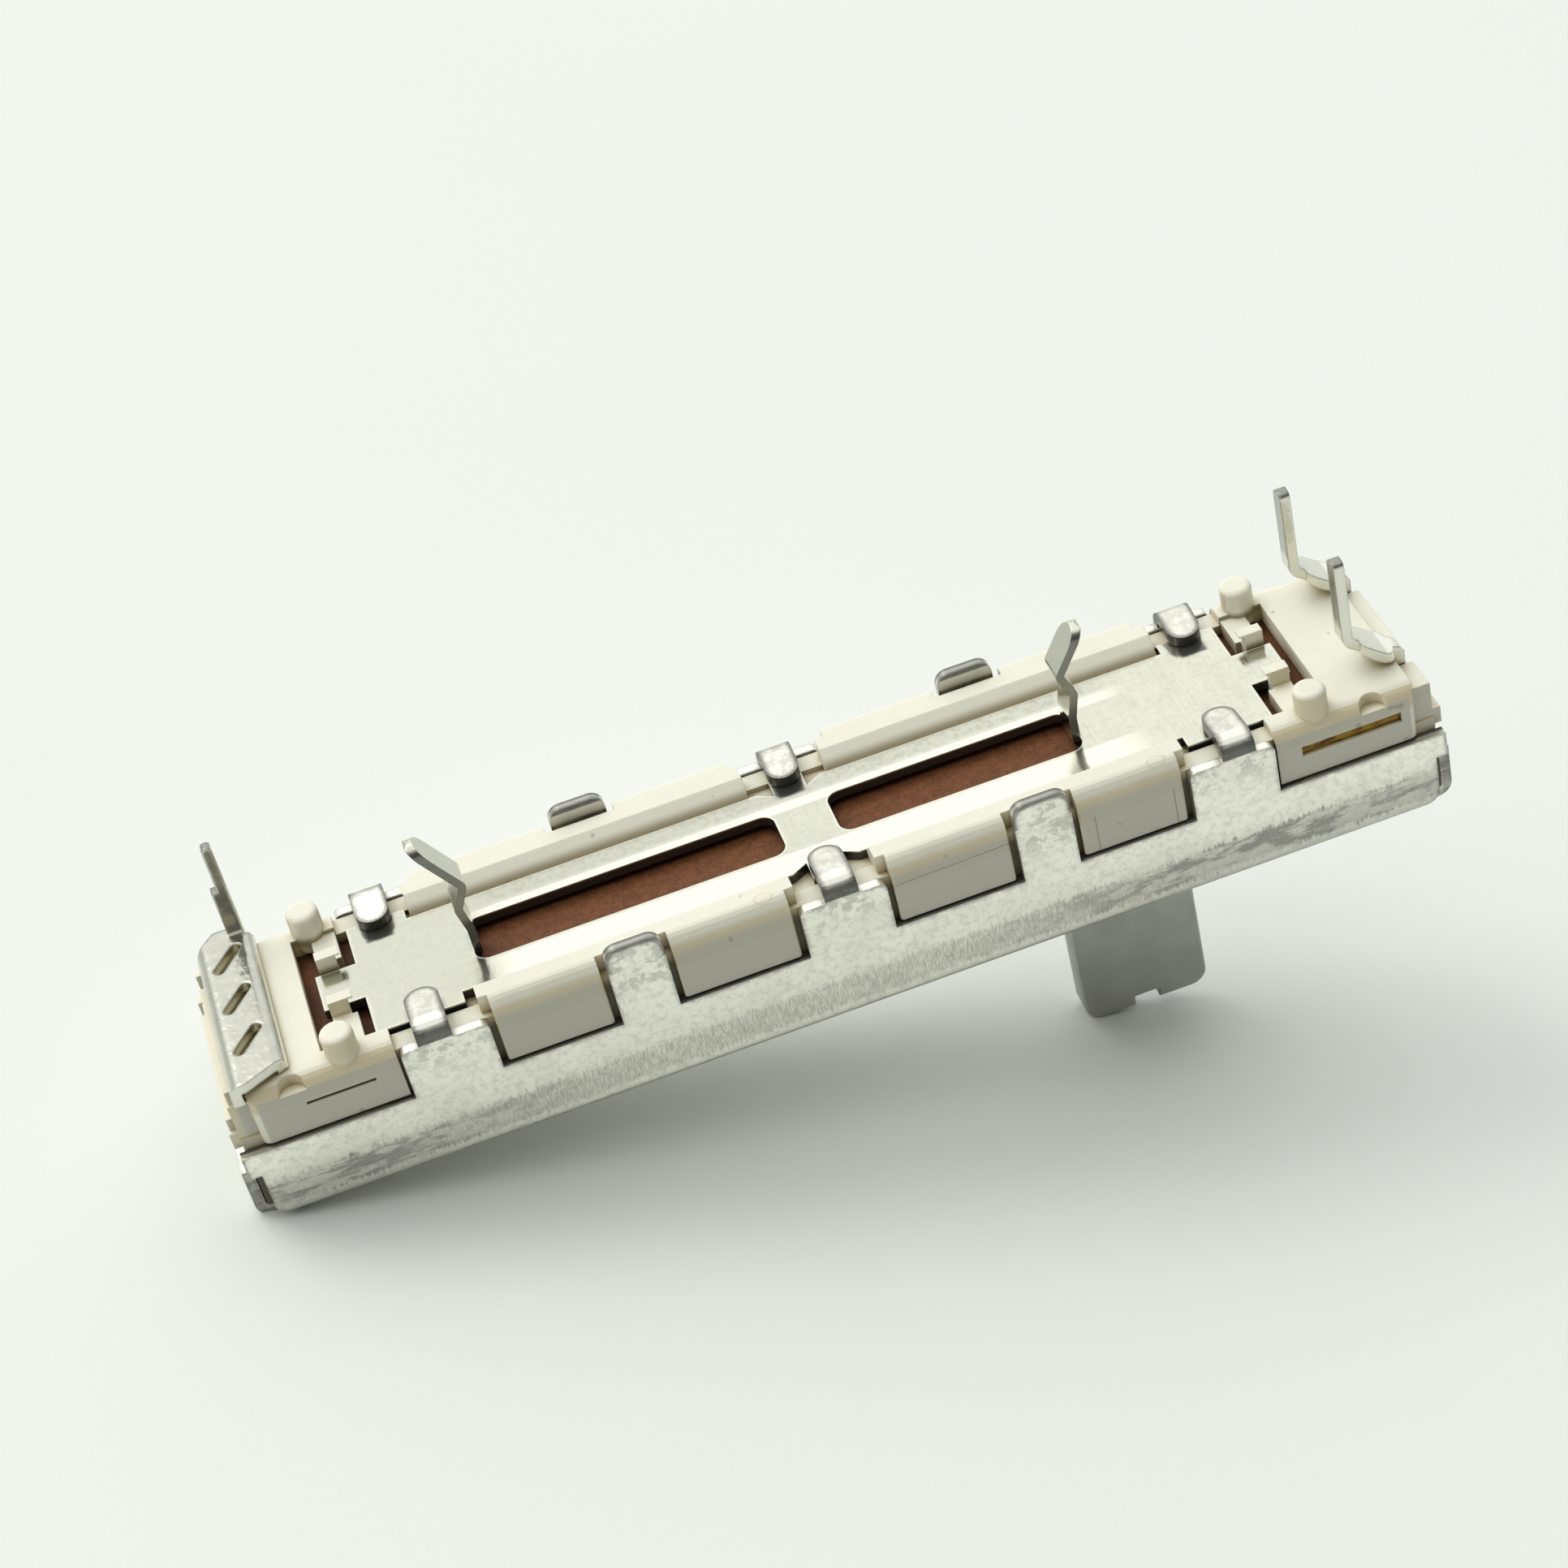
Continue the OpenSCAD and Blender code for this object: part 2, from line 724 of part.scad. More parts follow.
module frame_end() {
    difference() {
        for (side = [FRONT, REAR])
            on_side(side)
                end_block(side);
        block([0, -arm_y, board_z], [block_inner, arm_y, block_h + over]);
    }
    block([block_end - over, -foot_y, sill_top], [foot_x, foot_y, foot_h]);
    block([block_end - board_in, -foot_y, sill_top], [block_end + rib_d, foot_y, foot_h + rib_h]);
    block([bar_x, -arm_y - fit_gap, board_z], [bar_x + bar_len, arm_y + fit_gap, plate_top]);
    both_sides()
        block([bar_x, lip_y, board_z], [bar_x + bar_len, lip_y + lip_w, plate_top + lip_rise]);
    both_sides()
        translate([half_len - peg_end_in, block_y - peg_side_in, block_h])
            peg();
}

// Room for a strap and its hook, for the right end
module strap_slot(y) {
    low = hook_z - term_t / 2 - term_gap;
    block([electrode_end - hook_len, y - slot_half, low], [flap_x + over, y + slot_half, board_z]);
    block([block_end, y - slot_half, low], [flap_x + over, y + slot_half, block_h + over]);
}

// Slit in an end block's face, over the board's edge
module board_slit(x0, x1, z0, z1) {
    block([x0, board_wide_y, z0], [x1, block_y + over, z1]);
}

module screw_room() {
    translate([screw_x, 0, 0])
        cylinder(r = collar_r + fit_gap, h = sill_h - sill_gap);
    block([screw_x, -collar_r - fit_gap, 0], [half_len + over, collar_r + fit_gap, sill_h - sill_gap]);
}

// Plan of the board, wider at its ends
module board_outline(grow) {
    x = board_end + grow;
    neck = board_wide_x - grow;
    wide = board_wide_y + grow;
    narrow = board_w / 2 + grow;
    rear = [[-x, wide], [-neck, wide], [-neck, narrow], [neck, narrow], [neck, wide], [x, wide]];
    front = [for (i = [len(rear) - 1:-1:0]) [rear[i].x, -rear[i].y]];
    polygon(concat(rear, front));
}

// The trough's outside, with its lower edges cut to clear the case's folds
module frame_base() {
    top = sill_top + foot_t / 2;
    intersection() {
        along_x(-frame_end, frame_end)
            polygon(cut_base(frame_y, fold_r, top));
        along_y(-frame_y, frame_y)
            polygon(cut_base(frame_end, flap_fold_r, top));
    }
}

// Section of a block on the case's floor, with its two lower corners cut
function cut_base(half, cut, top) = [
    [-half, top],
    [-half, sheet_t + cut],
    [cut - half, sheet_t],
    [half - cut, sheet_t],
    [half, sheet_t + cut],
    [half, top]
];

module frame() {
    slit_z = board_top - slit_drop;
    slit_left_end = board_wide_x + slit_left_len;
    seat_end = ledge_end + over;
    color(cream)
        difference() {
            union() {
                frame_base();
                block([-ledge_end, -frame_y, sill_h], [ledge_end, frame_y, plate_z]);
                both_sides()
                    block([-seat_end, arm_y, sill_h], [seat_end, frame_y, plate_top - clip_seat_drop]);
                for (side = [FRONT, REAR])
                    on_side(side)
                        both_ends()
                            rails(side);
                both_ends()
                    frame_end();
            }
            block([-trough_half, -trough_y, 0], [trough_half, trough_y, board_z]);
            block([-ledge_end - over, -deck_y, board_z], [ledge_end + over, deck_y, plate_z + over]);
            translate([0, 0, board_z - mould_gap])
                linear_extrude(board_t + 2 * mould_gap)
                    board_outline(mould_gap);
            block(
                [-board_end, -electrode_w / 2 - mould_gap, film_z - mould_gap],
                [board_end, electrode_w / 2 + mould_gap, board_z]
            );
            both_ends() {
                screw_room();
                block([bar_x - over, -lip_y, plate_z], [block_inner, lip_y, block_h + over]);
                for (side = [FRONT, REAR])
                    translate([half_len - nick_in, side * block_y, block_h - nick_r])
                        cylinder(r = nick_r, h = nick_r + over);
            }
            strap_slot(term_rear_y);
            strap_slot(term_front_y);
            mirror([1, 0, 0]) {
                strap_slot(left_strap_rear);
                strap_slot(left_strap_front);
            }
            both_sides() {
                board_slit(board_wide_x, board_end, slit_z - slit_right_h / 2, slit_z + slit_right_h / 2);
                mirror([1, 0, 0])
                    board_slit(board_wide_x, slit_left_end, slit_z, slit_z + slit_left_h);
            }
        }
}

// A kinked lug at a window's outer end, drawn for the right end
module lug(x, height) {
    root = x - lug_t / 2;
    tip_x = root - knee_out + tip_lean * (height - throat_h);
    crown = plate_top + height - lug_w / 2;
    intersection() {
        along_y(-lug_w / 2, lug_w / 2)
            polygon(ribbon(
                bent(
                    [
                        [root + plate_t, plate_z + lug_t / 2],
                        [root, plate_z + lug_t / 2],
                        [root, plate_top + knee_h / 2],
                        [root + knee_out, plate_top + knee_h],
                        [root - knee_out, plate_top + throat_h],
                        [tip_x, plate_top + height]
                    ],
                    lug_fold_r + lug_t / 2
                ),
                lug_t
            ));
        along_x(x - over, tip_x + over) {
            translate([-lug_w / 2, 0])
                square([lug_w, crown]);
            translate([0, crown])
                circle(lug_w / 2);
        }
    }
}

// Half of the plate's plan on the rear side, out to the tip of the tongue
function plate_edge(side) =
    let (
        plate_end = half_len - plate_in,
        ear_start = clip_x(side) - ear_before,
        ear_half = strip_w / 2
    )
    [
        [0, ear_w / 2],
        [ear_half, ear_w / 2],
        [ear_half, plate_w / 2 - relief_d],
        [ear_half + relief_w, plate_w / 2],
        [ear_start, plate_w / 2],
        [ear_start, ear_w / 2],
        [plate_end, ear_w / 2],
        [plate_end, tongue_w / 2],
        [plate_end + tongue_len, tongue_w / 2],
        [plate_end + tongue_len, 0],
        [0, 0]
    ];

module bottom_plate() {
    color(bright) {
        translate([0, 0, plate_z])
            linear_extrude(plate_t)
                difference() {
                    for (side = [FRONT, REAR])
                        on_side(side)
                            both_ends()
                                polygon(plate_edge(side));
                    round_rect([bridge_w / 2, -port_w / 2], [port_right, port_w / 2], port_r);
                    round_rect([-port_left, -port_w / 2], [-bridge_w / 2, port_w / 2], port_r);
                }
        lug(port_right, lug_right_h);
        mirror([1, 0, 0])
            lug(port_left, lug_left_h);
    }
}

module resistor_board() {
    color(phenolic)
        translate([0, 0, board_z])
            linear_extrude(board_t)
                board_outline(0);
}

// A printed film on the board's inner face
module film(low, high) {
    translate([0, 0, film_z])
        linear_extrude(film_t)
            translate(low)
                square(high - low);
}

module resistive_track() {
    color([0.12, 0.12, 0.13])
        film([-electrode_x, track_y - track_w / 2], [electrode_x, track_y + track_w / 2]);
}

module collector_track() {
    color([0.7, 0.7, 0.72])
        film([electrode_gap - electrode_x, -track_y - track_w / 2], [electrode_x, -track_y + track_w / 2]);
}

module electrode_left() {
    color([0.75, 0.75, 0.76])
        film([-electrode_end, -electrode_w / 2], [-electrode_x, electrode_w / 2]);
}

module electrode_right_rear() {
    color([0.75, 0.75, 0.76])
        film([electrode_x, electrode_gap / 2], [electrode_end, electrode_w / 2]);
}

module electrode_right_front() {
    color([0.75, 0.75, 0.76])
        film([electrode_x, -electrode_w / 2], [electrode_end, -electrode_gap / 2]);
}

// Strap down the right end face, with its hook under the board
module strap(y, top) {
    hook_x = electrode_end - hook_len + term_gap;
    along_y(y - strap_w / 2 + mould_gap, y + strap_w / 2 - mould_gap)
        polygon(ribbon(bent([[strap_x, top], [strap_x, hook_z], [hook_x, hook_z]], term_bend), term_t));
}

// Pin, foot and strap of a right terminal
module terminal_right(y) {
    tip = plate_top + pin_h;
    pin_x = half_len - pin_in;
    elbow = [pin_x, block_h + elbow_h];
    toe = [block_end - term_t, block_h + term_gap + term_t];
    shin = (elbow + toe) / 2;
    path = concat(
        bent([[pin_x, tip], elbow, shin], elbow_r),
        bent([toe, [strap_x, block_h + term_gap + term_t / 2], [strap_x, foot_h]], term_bend)
    );
    color(bright) {
        intersection() {
            along_y(y - pin_w / 2, y + pin_w / 2)
                polygon(ribbon(path, term_t));
            along_x(0, flap_x)
                round_rect([y - pin_w / 2, 0], [y + pin_w / 2, tip], pin_r);
        }
        intersection() {
            along_y(y - foot_w / 2, y + foot_w / 2)
                polygon(ribbon(path, term_t));
            linear_extrude(tip)
                round_rect([pin_x + term_t, y - foot_w / 2], [block_end + term_gap, y + foot_w / 2], term_t);
        }
        strap(y, block_h - term_t);
    }
}

module terminal_right_rear() {
    terminal_right(term_rear_y);
}

module terminal_right_front() {
    terminal_right(term_front_y);
}

// Slanted slot of the left terminal, as a plan outline at the origin
module claw_slot() {
    rotate(claw_angle)
        round_rect([-claw_len / 2, -claw_w / 2], [claw_len / 2, claw_w / 2], claw_r);
}

// The lanced edge that is pressed down beside a slot
module claw() {
    rotate(claw_angle)
        block(
            [-claw_len / 2 + claw_w / 2, -claw_w / 2 - term_t / 2, block_h + term_gap],
            [claw_len / 2 - claw_w / 2, -claw_w / 2, tray_z]
        );
}

// Drawn for the right end and mirrored to the left
module terminal_left() {
    pin_x = tray_x + left_pin_in;
    pin_y = tray_rear - term_t / 2;
    tip = plate_top + left_pin_h;
    mid_x = (tray_x + strap_x) / 2;
    claws = [for (i = [0:claw_count - 1]) claw_y + (i - (claw_count - 1) / 2) * claw_pitch];
    color(bright)
        mirror([1, 0, 0]) {
            difference() {
                intersection() {
                    along_y(-tray_front, tray_rear)
                        polygon(ribbon(
                            bent(
                                [
                                    [tray_x, block_h + term_gap],
                                    [tray_x, tray_z],
                                    [strap_x, tray_z],
                                    [strap_x, block_h - tray_drop]
                                ],
                                term_bend
                            ),
                            term_t
                        ));
                    linear_extrude(tray_z + over)
                        polygon([
                            [tray_x - term_t, pin_y - term_bend],
                            [pin_x + left_pin_w, pin_y - term_bend],
                            [pin_x + left_pin_w, tray_rear],
                            [strap_x + term_t / 2 - tray_rear_cut, tray_rear],
                            [strap_x + term_t / 2, tray_rear - tray_rear_cut],
                            [flap_x, tray_rear - tray_rear_cut],
                            [flap_x, -tray_front],
                            [strap_x - term_t, -tray_front],
                            [tray_x - term_t / 2, tray_cut / 2 - tray_front],
                            [tray_x - term_t, tray_cut - tray_front]
                        ]);
                }
                for (y = claws)
                    translate([mid_x, y, block_h])
                        linear_extrude(tray_rise + over)
                            mirror([1, 0, 0])
                                claw_slot();
            }
            for (y = claws)
                translate([mid_x, y, 0])
                    mirror([1, 0, 0])
                        claw();
            strap(left_strap_rear, block_h);
            strap(left_strap_front, block_h);
            intersection() {
                along_x(pin_x, pin_x + left_pin_w)
                    polygon(ribbon(
                        bent([[pin_y - term_t, tray_z], [pin_y, tray_z], [pin_y, tip]], term_bend),
                        term_t
                    ));
                along_y(0, tray_rear) {
                    translate([pin_x, 0])
                        square([left_pin_w, tip - left_tip_len]);
                    round_rect([pin_x, 0], [pin_x + left_tip_w, tip], left_tip_r);
                }
            }
        }
}

module carriage() {
    half = carriage_len / 2;
    color([0.9, 0.9, 0.88])
        translate([lever_x, 0, 0])
            difference() {
                union() {
                    block(
                        [-half, waist_d - carriage_y, carriage_z],
                        [half, carriage_y - waist_d, carriage_top]
                    );
                    both_ends()
                        block(
                            [half - runner_len, -carriage_y, carriage_z],
                            [half, carriage_y, carriage_top]
                        );
                    both_sides()
                        translate([stake_x, stake_y, carriage_top])
                            cylinder(r = stake_d / 2, h = wiper_t + stake_rise);
                }
                block([-lever_w / 2, -lever_t / 2, 0], [lever_w / 2, lever_t / 2, carriage_z + lever_grip]);
            }
}

module lever() {
    color([0.72, 0.72, 0.7])
        translate([lever_x, 0, 0])
            along_y(-lever_t / 2, lever_t / 2)
                difference() {
                    union() {
                        round_rect([-lever_w / 2, -lever_h], [lever_w / 2, 0], lever_r);
                        translate([-lever_w / 2, -lever_h + lever_r])
                            square([lever_w, lever_h - lever_r + carriage_z + lever_grip]);
                    }
                    translate([-notch_w / 2, -lever_h - over])
                        square([notch_w, notch_d + over]);
                }
}

// One springy finger from the wiper's base up to its track
module finger(y) {
    root = stake_x + wiper_base / 2;
    base_z = carriage_top + wiper_t / 2;
    along_y(y - finger_w / 2, y + finger_w / 2)
        polygon(ribbon(
            bent(
                [
                    [root - wiper_t, base_z],
                    [root, base_z],
                    [root + finger_len, contact_z],
                    [root + finger_len + finger_w, contact_z - finger_w]
                ],
                wiper_t
            ),
            wiper_t
        ));
}

module wiper() {
    base = stake_x - wiper_base / 2;
    reach = track_y + finger_gap / 2 + finger_w;
    color([0.8, 0.65, 0.35])
        translate([lever_x, 0, 0]) {
            difference() {
                block([base, -reach, carriage_top], [base + wiper_base, reach, carriage_top + wiper_t]);
                both_sides()
                    translate([stake_x, stake_y, carriage_top - over])
                        cylinder(r = stake_d / 2 + mould_gap, h = wiper_t + 2 * over);
            }
            for (track = [-track_y, track_y])
                for (offset = [-1, 1])
                    finger(track + offset * (finger_gap + finger_w) / 2);
        }
}

case();
frame();
bottom_plate();
resistor_board();
resistive_track();
collector_track();
electrode_left();
electrode_right_rear();
electrode_right_front();
terminal_left();
terminal_right_rear();
terminal_right_front();
carriage();
lever();
wiper();
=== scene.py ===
"""Looks of a slide potentiometer: broken edges, finishes, a floor, lights and a camera."""

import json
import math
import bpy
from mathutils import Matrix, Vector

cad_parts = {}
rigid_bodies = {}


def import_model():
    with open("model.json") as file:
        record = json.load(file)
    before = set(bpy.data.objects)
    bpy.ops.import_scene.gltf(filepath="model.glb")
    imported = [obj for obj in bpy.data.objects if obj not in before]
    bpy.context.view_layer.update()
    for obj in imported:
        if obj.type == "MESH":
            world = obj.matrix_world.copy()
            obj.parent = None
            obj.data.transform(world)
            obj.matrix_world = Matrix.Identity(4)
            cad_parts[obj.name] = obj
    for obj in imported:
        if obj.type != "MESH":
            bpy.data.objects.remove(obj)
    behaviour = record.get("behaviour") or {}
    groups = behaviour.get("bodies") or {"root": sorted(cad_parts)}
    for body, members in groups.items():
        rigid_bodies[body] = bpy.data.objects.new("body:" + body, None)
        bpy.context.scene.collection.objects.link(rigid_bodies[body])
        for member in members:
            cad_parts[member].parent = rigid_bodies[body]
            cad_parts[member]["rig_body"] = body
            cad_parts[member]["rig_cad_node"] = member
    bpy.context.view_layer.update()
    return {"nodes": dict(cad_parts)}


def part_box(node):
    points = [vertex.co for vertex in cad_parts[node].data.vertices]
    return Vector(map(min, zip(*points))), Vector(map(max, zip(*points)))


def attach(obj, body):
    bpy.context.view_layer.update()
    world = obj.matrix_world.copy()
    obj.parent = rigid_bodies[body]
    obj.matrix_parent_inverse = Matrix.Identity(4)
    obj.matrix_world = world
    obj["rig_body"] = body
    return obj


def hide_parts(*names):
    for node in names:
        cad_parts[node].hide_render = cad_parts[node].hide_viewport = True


bl_info = {
    "name": "Slide potentiometer looks",
    "version": (1, 0, 0),
    "blender": (4, 5, 0),
    "location": "View3D > Sidebar > Slide pot",
    "description": "Dresses the packed slide potentiometer and sets its stage",
    "category": "Object",
}

import bpy
from mathutils import Matrix, Vector

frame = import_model()
MM = 0.001

# Where the finishes find the part's features, in millimetres of the part's frame.
# Heights of the case: the top of its foot's fold, the shade above it, the rubbed band on its walls, the sill
# under its windows, the bends of its clips and the tops of its plain tabs
FOLD_Z = 0.45
FOOT_Z = (0.5, 2.8)
RUBBED_Z = (1.25, 2.25)
SILL_Z = 3.3
BEND_Z = 6.0
TAB_Z = 6.66
# Heights of the frame: the slits behind the end flaps, the fading of the painted shade in the gaps between
# its rails, the rails' shoulders, the end blocks' tops and the rails' tops
SLIT_Z = 2.8
GAP_Z = (4.8, 5.3)
SHOULDER_Z = (4.95, 5.6)
BLOCK_Z = 5.7
RAIL_Z = 6.11
# Heights of the bottom plate's upper face and of the terminals' pins above their feet
PLATE_Z = 5.54
PIN_Z = 7.5
# Distances from the middle along the case: the plain tabs and their half width, the outer ends of the plate's
# windows, the outer clips of both walls, the pegs, the end blocks, the left block's tray, the slits and the
# end flaps
TAB_X = 7.49
TAB_REACH = 1.15
WINDOW_X = (11, 13)
CLIP_FRONT_X = 14.85
CLIP_REAR_X = 15.6
PEG_X = 15.5
BLOCK_X = 17
TRAY_X = 19
SLIT_X = 21.6
FLAP_X = 22.35
# Distances from the middle across the case: the plate's windows, the tips of the rear clips, the gaps between
# the rails, the bends of the clips, the walls' inner faces and the outer lips of the sills
WINDOW_Y = 1.15
CLIP_TIP_Y = 2.3
GAP_Y = 2.9
BEND_Y = 3.55
WALL_Y = 3.95
LIP_Y = 4.18
# Along the case: the least rubbed place on the walls and how far from it the rubbing and the painted shade
# at their foot grow, where the painted shade on the rear clips fades out, and where that on the bottom plate
# does
CLEAN_X = -3
RUBBED_REACH = (5, 16)
CLIP_SHADE_FADE_X = (4, 10)
PLATE_SHADE_FADE_X = (-16, 12)
# Marks of the mould: two upright seams and a slanted crease on the front rails, and two gates on their tops
SEAM_X = (9.36, 12.33)
CREASE_X = (1.5, 6.2)
CREASE_Z = 4.99
CREASE_SLOPE = 0.022
GATES = ((12.0, -3.75), (-2.6, -3.7))
GATE_RADIUS = 0.3

# Rays per shaded point for corners and for rounded edges
CORNER_RAYS = 8
EDGE_RAYS = 6
# How finished copies are made: the gap in metres that is merged, and the angles that count as sharp
MERGE_GAP = 1e-6
BROKEN_ANGLE = math.radians(32)
SMOOTH_ANGLE = math.radians(40)

# The photograph's camera: its axes in the part's frame, and its place in metres
CAMERA_RIGHT = (0.9395192, -0.2787812, -0.1989592)
CAMERA_DOWN = (-0.3289413, -0.5726630, -0.7509026)
CAMERA_AHEAD = (0.0954009, 0.7709333, -0.6297305)
CAMERA_PLACE = (-0.0120288, -0.0937891, 0.0841957)
CAMERA_REACH = (0.005, 20)
SENSOR_WIDTH = 36
# The floor, in metres: its height at the case's left end, and where it meets the lever's tip
REST_HEIGHT = 0.0001
TIP_INSET = 0.0006
TIP_GAP = 0.00002
# Middle of the bright part of the sky, and the cosines of the angles from it between which the sky fades
SKY_AXIS = (-0.08, 0.53, 0.84)
SKY_FADE = (0.1, 0.75)
SKY_TINT = (0.985, 1.0, 0.975)
# Sines of the angles above and below the floor's horizon between which the backdrop fades into the sky
BACKDROP_FADE = (0.22, 0.36)
# The lamp's place in metres, and its colour
LAMP_PLACE = (-0.30, 0.45, 0.85)
LAMP_TINT = (1.0, 0.995, 0.96)


def colour(name, description, default):
    """A colour that a user may change."""
    return bpy.props.FloatVectorProperty(
        name=name, description=description, default=default, size=3, min=0, max=1, subtype="COLOR"
    )


def length(name, description, default):
    """A length in metres that a user may change."""
    return bpy.props.FloatProperty(
        name=name, description=description, default=default, min=0, precision=6, unit="LENGTH"
    )


def strength(name, description, default, unit="NONE"):
    """A strength of light that a user may change."""
    return bpy.props.FloatProperty(name=name, description=description, default=default, min=0, unit=unit)


class SlidePotEdges(bpy.types.PropertyGroup):
    """How far the sharp edges are broken"""

    lever: length("Lever", "Edge radius of the lever", 0.00008)
    board: length("Board", "Edge radius of the resistor board", 0.00002)


class SlidePotColours(bpy.types.PropertyGroup):
    """Colours of the finishes"""

    cream: colour("Cream plastic", "Moulded frame", (0.84, 0.82, 0.70))
    # Ochre colours the frame's painted warm shade in shoulders, corners, pegs and gaps, and its real mould
    # lines, gates and flecks.
    ochre: colour("Crevice tint", "Warm tint of the frame's corners", (0.60, 0.47, 0.20))
    tin: colour("Tin", "Dull tin plating of the case", (0.95, 0.94, 0.845))
    # This dark tin colours the rubbed streaks and scuffs, and also the painted shade on the case, plate and
    # terminals.
    scuffs_and_shade: colour("Scuffed tin", "Rubbed streaks low on the walls", (0.34, 0.34, 0.31))
    bright: colour("Bright steel", "Bottom plate and its lugs", (0.70, 0.70, 0.60))
    pin: colour("Pin metal", "Terminals", (0.54, 0.54, 0.48))
    board: colour("Laminate", "Resistor board", (0.150, 0.054, 0.019))
    gold: colour("Laminate edge", "Cut edge of the board", (0.42, 0.25, 0.03))
    lever: colour("Lever", "Satin lever", (0.43, 0.435, 0.40))
    carriage: colour("Carriage", "Moulded carriage", (0.80, 0.80, 0.77))
    carbon: colour("Carbon film", "Resistive track", (0.02, 0.02, 0.022))
    silver: colour("Silver film", "Collector and electrodes", (0.72, 0.72, 0.70))
    brass: colour("Spring brass", "Wiper", (0.78, 0.58, 0.27))


class SlidePotStage(bpy.types.PropertyGroup):
    """Floor, lights and camera"""

    floor: colour("Floor", "Pale floor under the part", (0.86, 0.88, 0.85))
    floor_size: length("Floor size", "Side of the floor", 4.0)
    floor_left: length("Left rest", "Distance of the case's resting edge from the middle", 0.0223)
    lens: bpy.props.FloatProperty(name="Lens", description="Focal length", default=79.317, unit="CAMERA")
    sky_back: strength("Rear sky", "Light from behind and above", 1.24)
    sky_front: strength("Front sky", "Light from the camera's side", 0.12)
    backdrop: strength("Backdrop", "Brightness of the backdrop beyond the floor", 0.74)
    lamp: strength("Lamp", "Power of the lamp", 2.7, "POWER")
    lamp_size: length("Lamp size", "Side of the lamp", 0.5)


class Wire:
    """An output of a node. Arithmetic on it adds Math nodes."""

    def __init__(self, net, socket):
        self.net = net
        self.socket = socket

    def __add__(self, other):
        return self.net.math("ADD", self, other)

    def __sub__(self, other):
        return self.net.math("SUBTRACT", self, other)

    def __rsub__(self, other):
        return self.net.math("SUBTRACT", other, self)

    def __mul__(self, other):
        return self.net.math("MULTIPLY", self, other)

    def __pow__(self, other):
        return self.net.math("POWER", self, other)

    def __abs__(self):
        return self.net.math("ABSOLUTE", self)

    __radd__ = __add__
    __rmul__ = __mul__


class Net:
    """A node tree that is written as expressions."""

    def __init__(self, tree):
        self.tree = tree

    def node(self, kind, settings=None, values=None, out=0):
        """Any node: its settings first, then the values or links of its sockets."""
        made = self.tree.nodes.new(kind)
        for key, value in (settings or {}).items():
            setattr(made, key, value)
        for key, value in (values or {}).items():
            self.feed(made.inputs[key], value)
        return Wire(self, made.outputs[out])

    def feed(self, socket, value):
        """Links an output to a socket or sets its value. A colour is opaque."""
        if isinstance(value, Wire):
            self.tree.links.new(value.socket, socket)
        elif socket.type == "RGBA":
            socket.default_value = (*value[:3], 1)
        else:
            socket.default_value = value

    def math(self, operation, *terms):
        """A Math node on some values."""
        return self.node("ShaderNodeMath", {"operation": operation}, dict(enumerate(terms)))

    def most(self, first, *others):
        """The largest of some masks."""
        for other in others:
            first = self.math("MAXIMUM", first, other)
        return first

    def along(self, vector, axis):
        """How far a vector points along an axis."""
        return self.node("ShaderNodeVectorMath", {"operation": "DOT_PRODUCT"}, {0: vector, 1: axis}, "Value")

    def ease(self, value, low, high):
        """0 up to low, 1 from high on, and smooth in between."""
        return self.node("ShaderNodeMapRange", {"interpolation_type": "SMOOTHSTEP"}, {
            "Value": value, "From Min": low, "From Max": high})

    def band(self, value, low, high, soft):
        """1 from low to high, fading over a soft margin."""
        return self.ease(value, low - soft, low) * (1 - self.ease(value, high, high + soft))


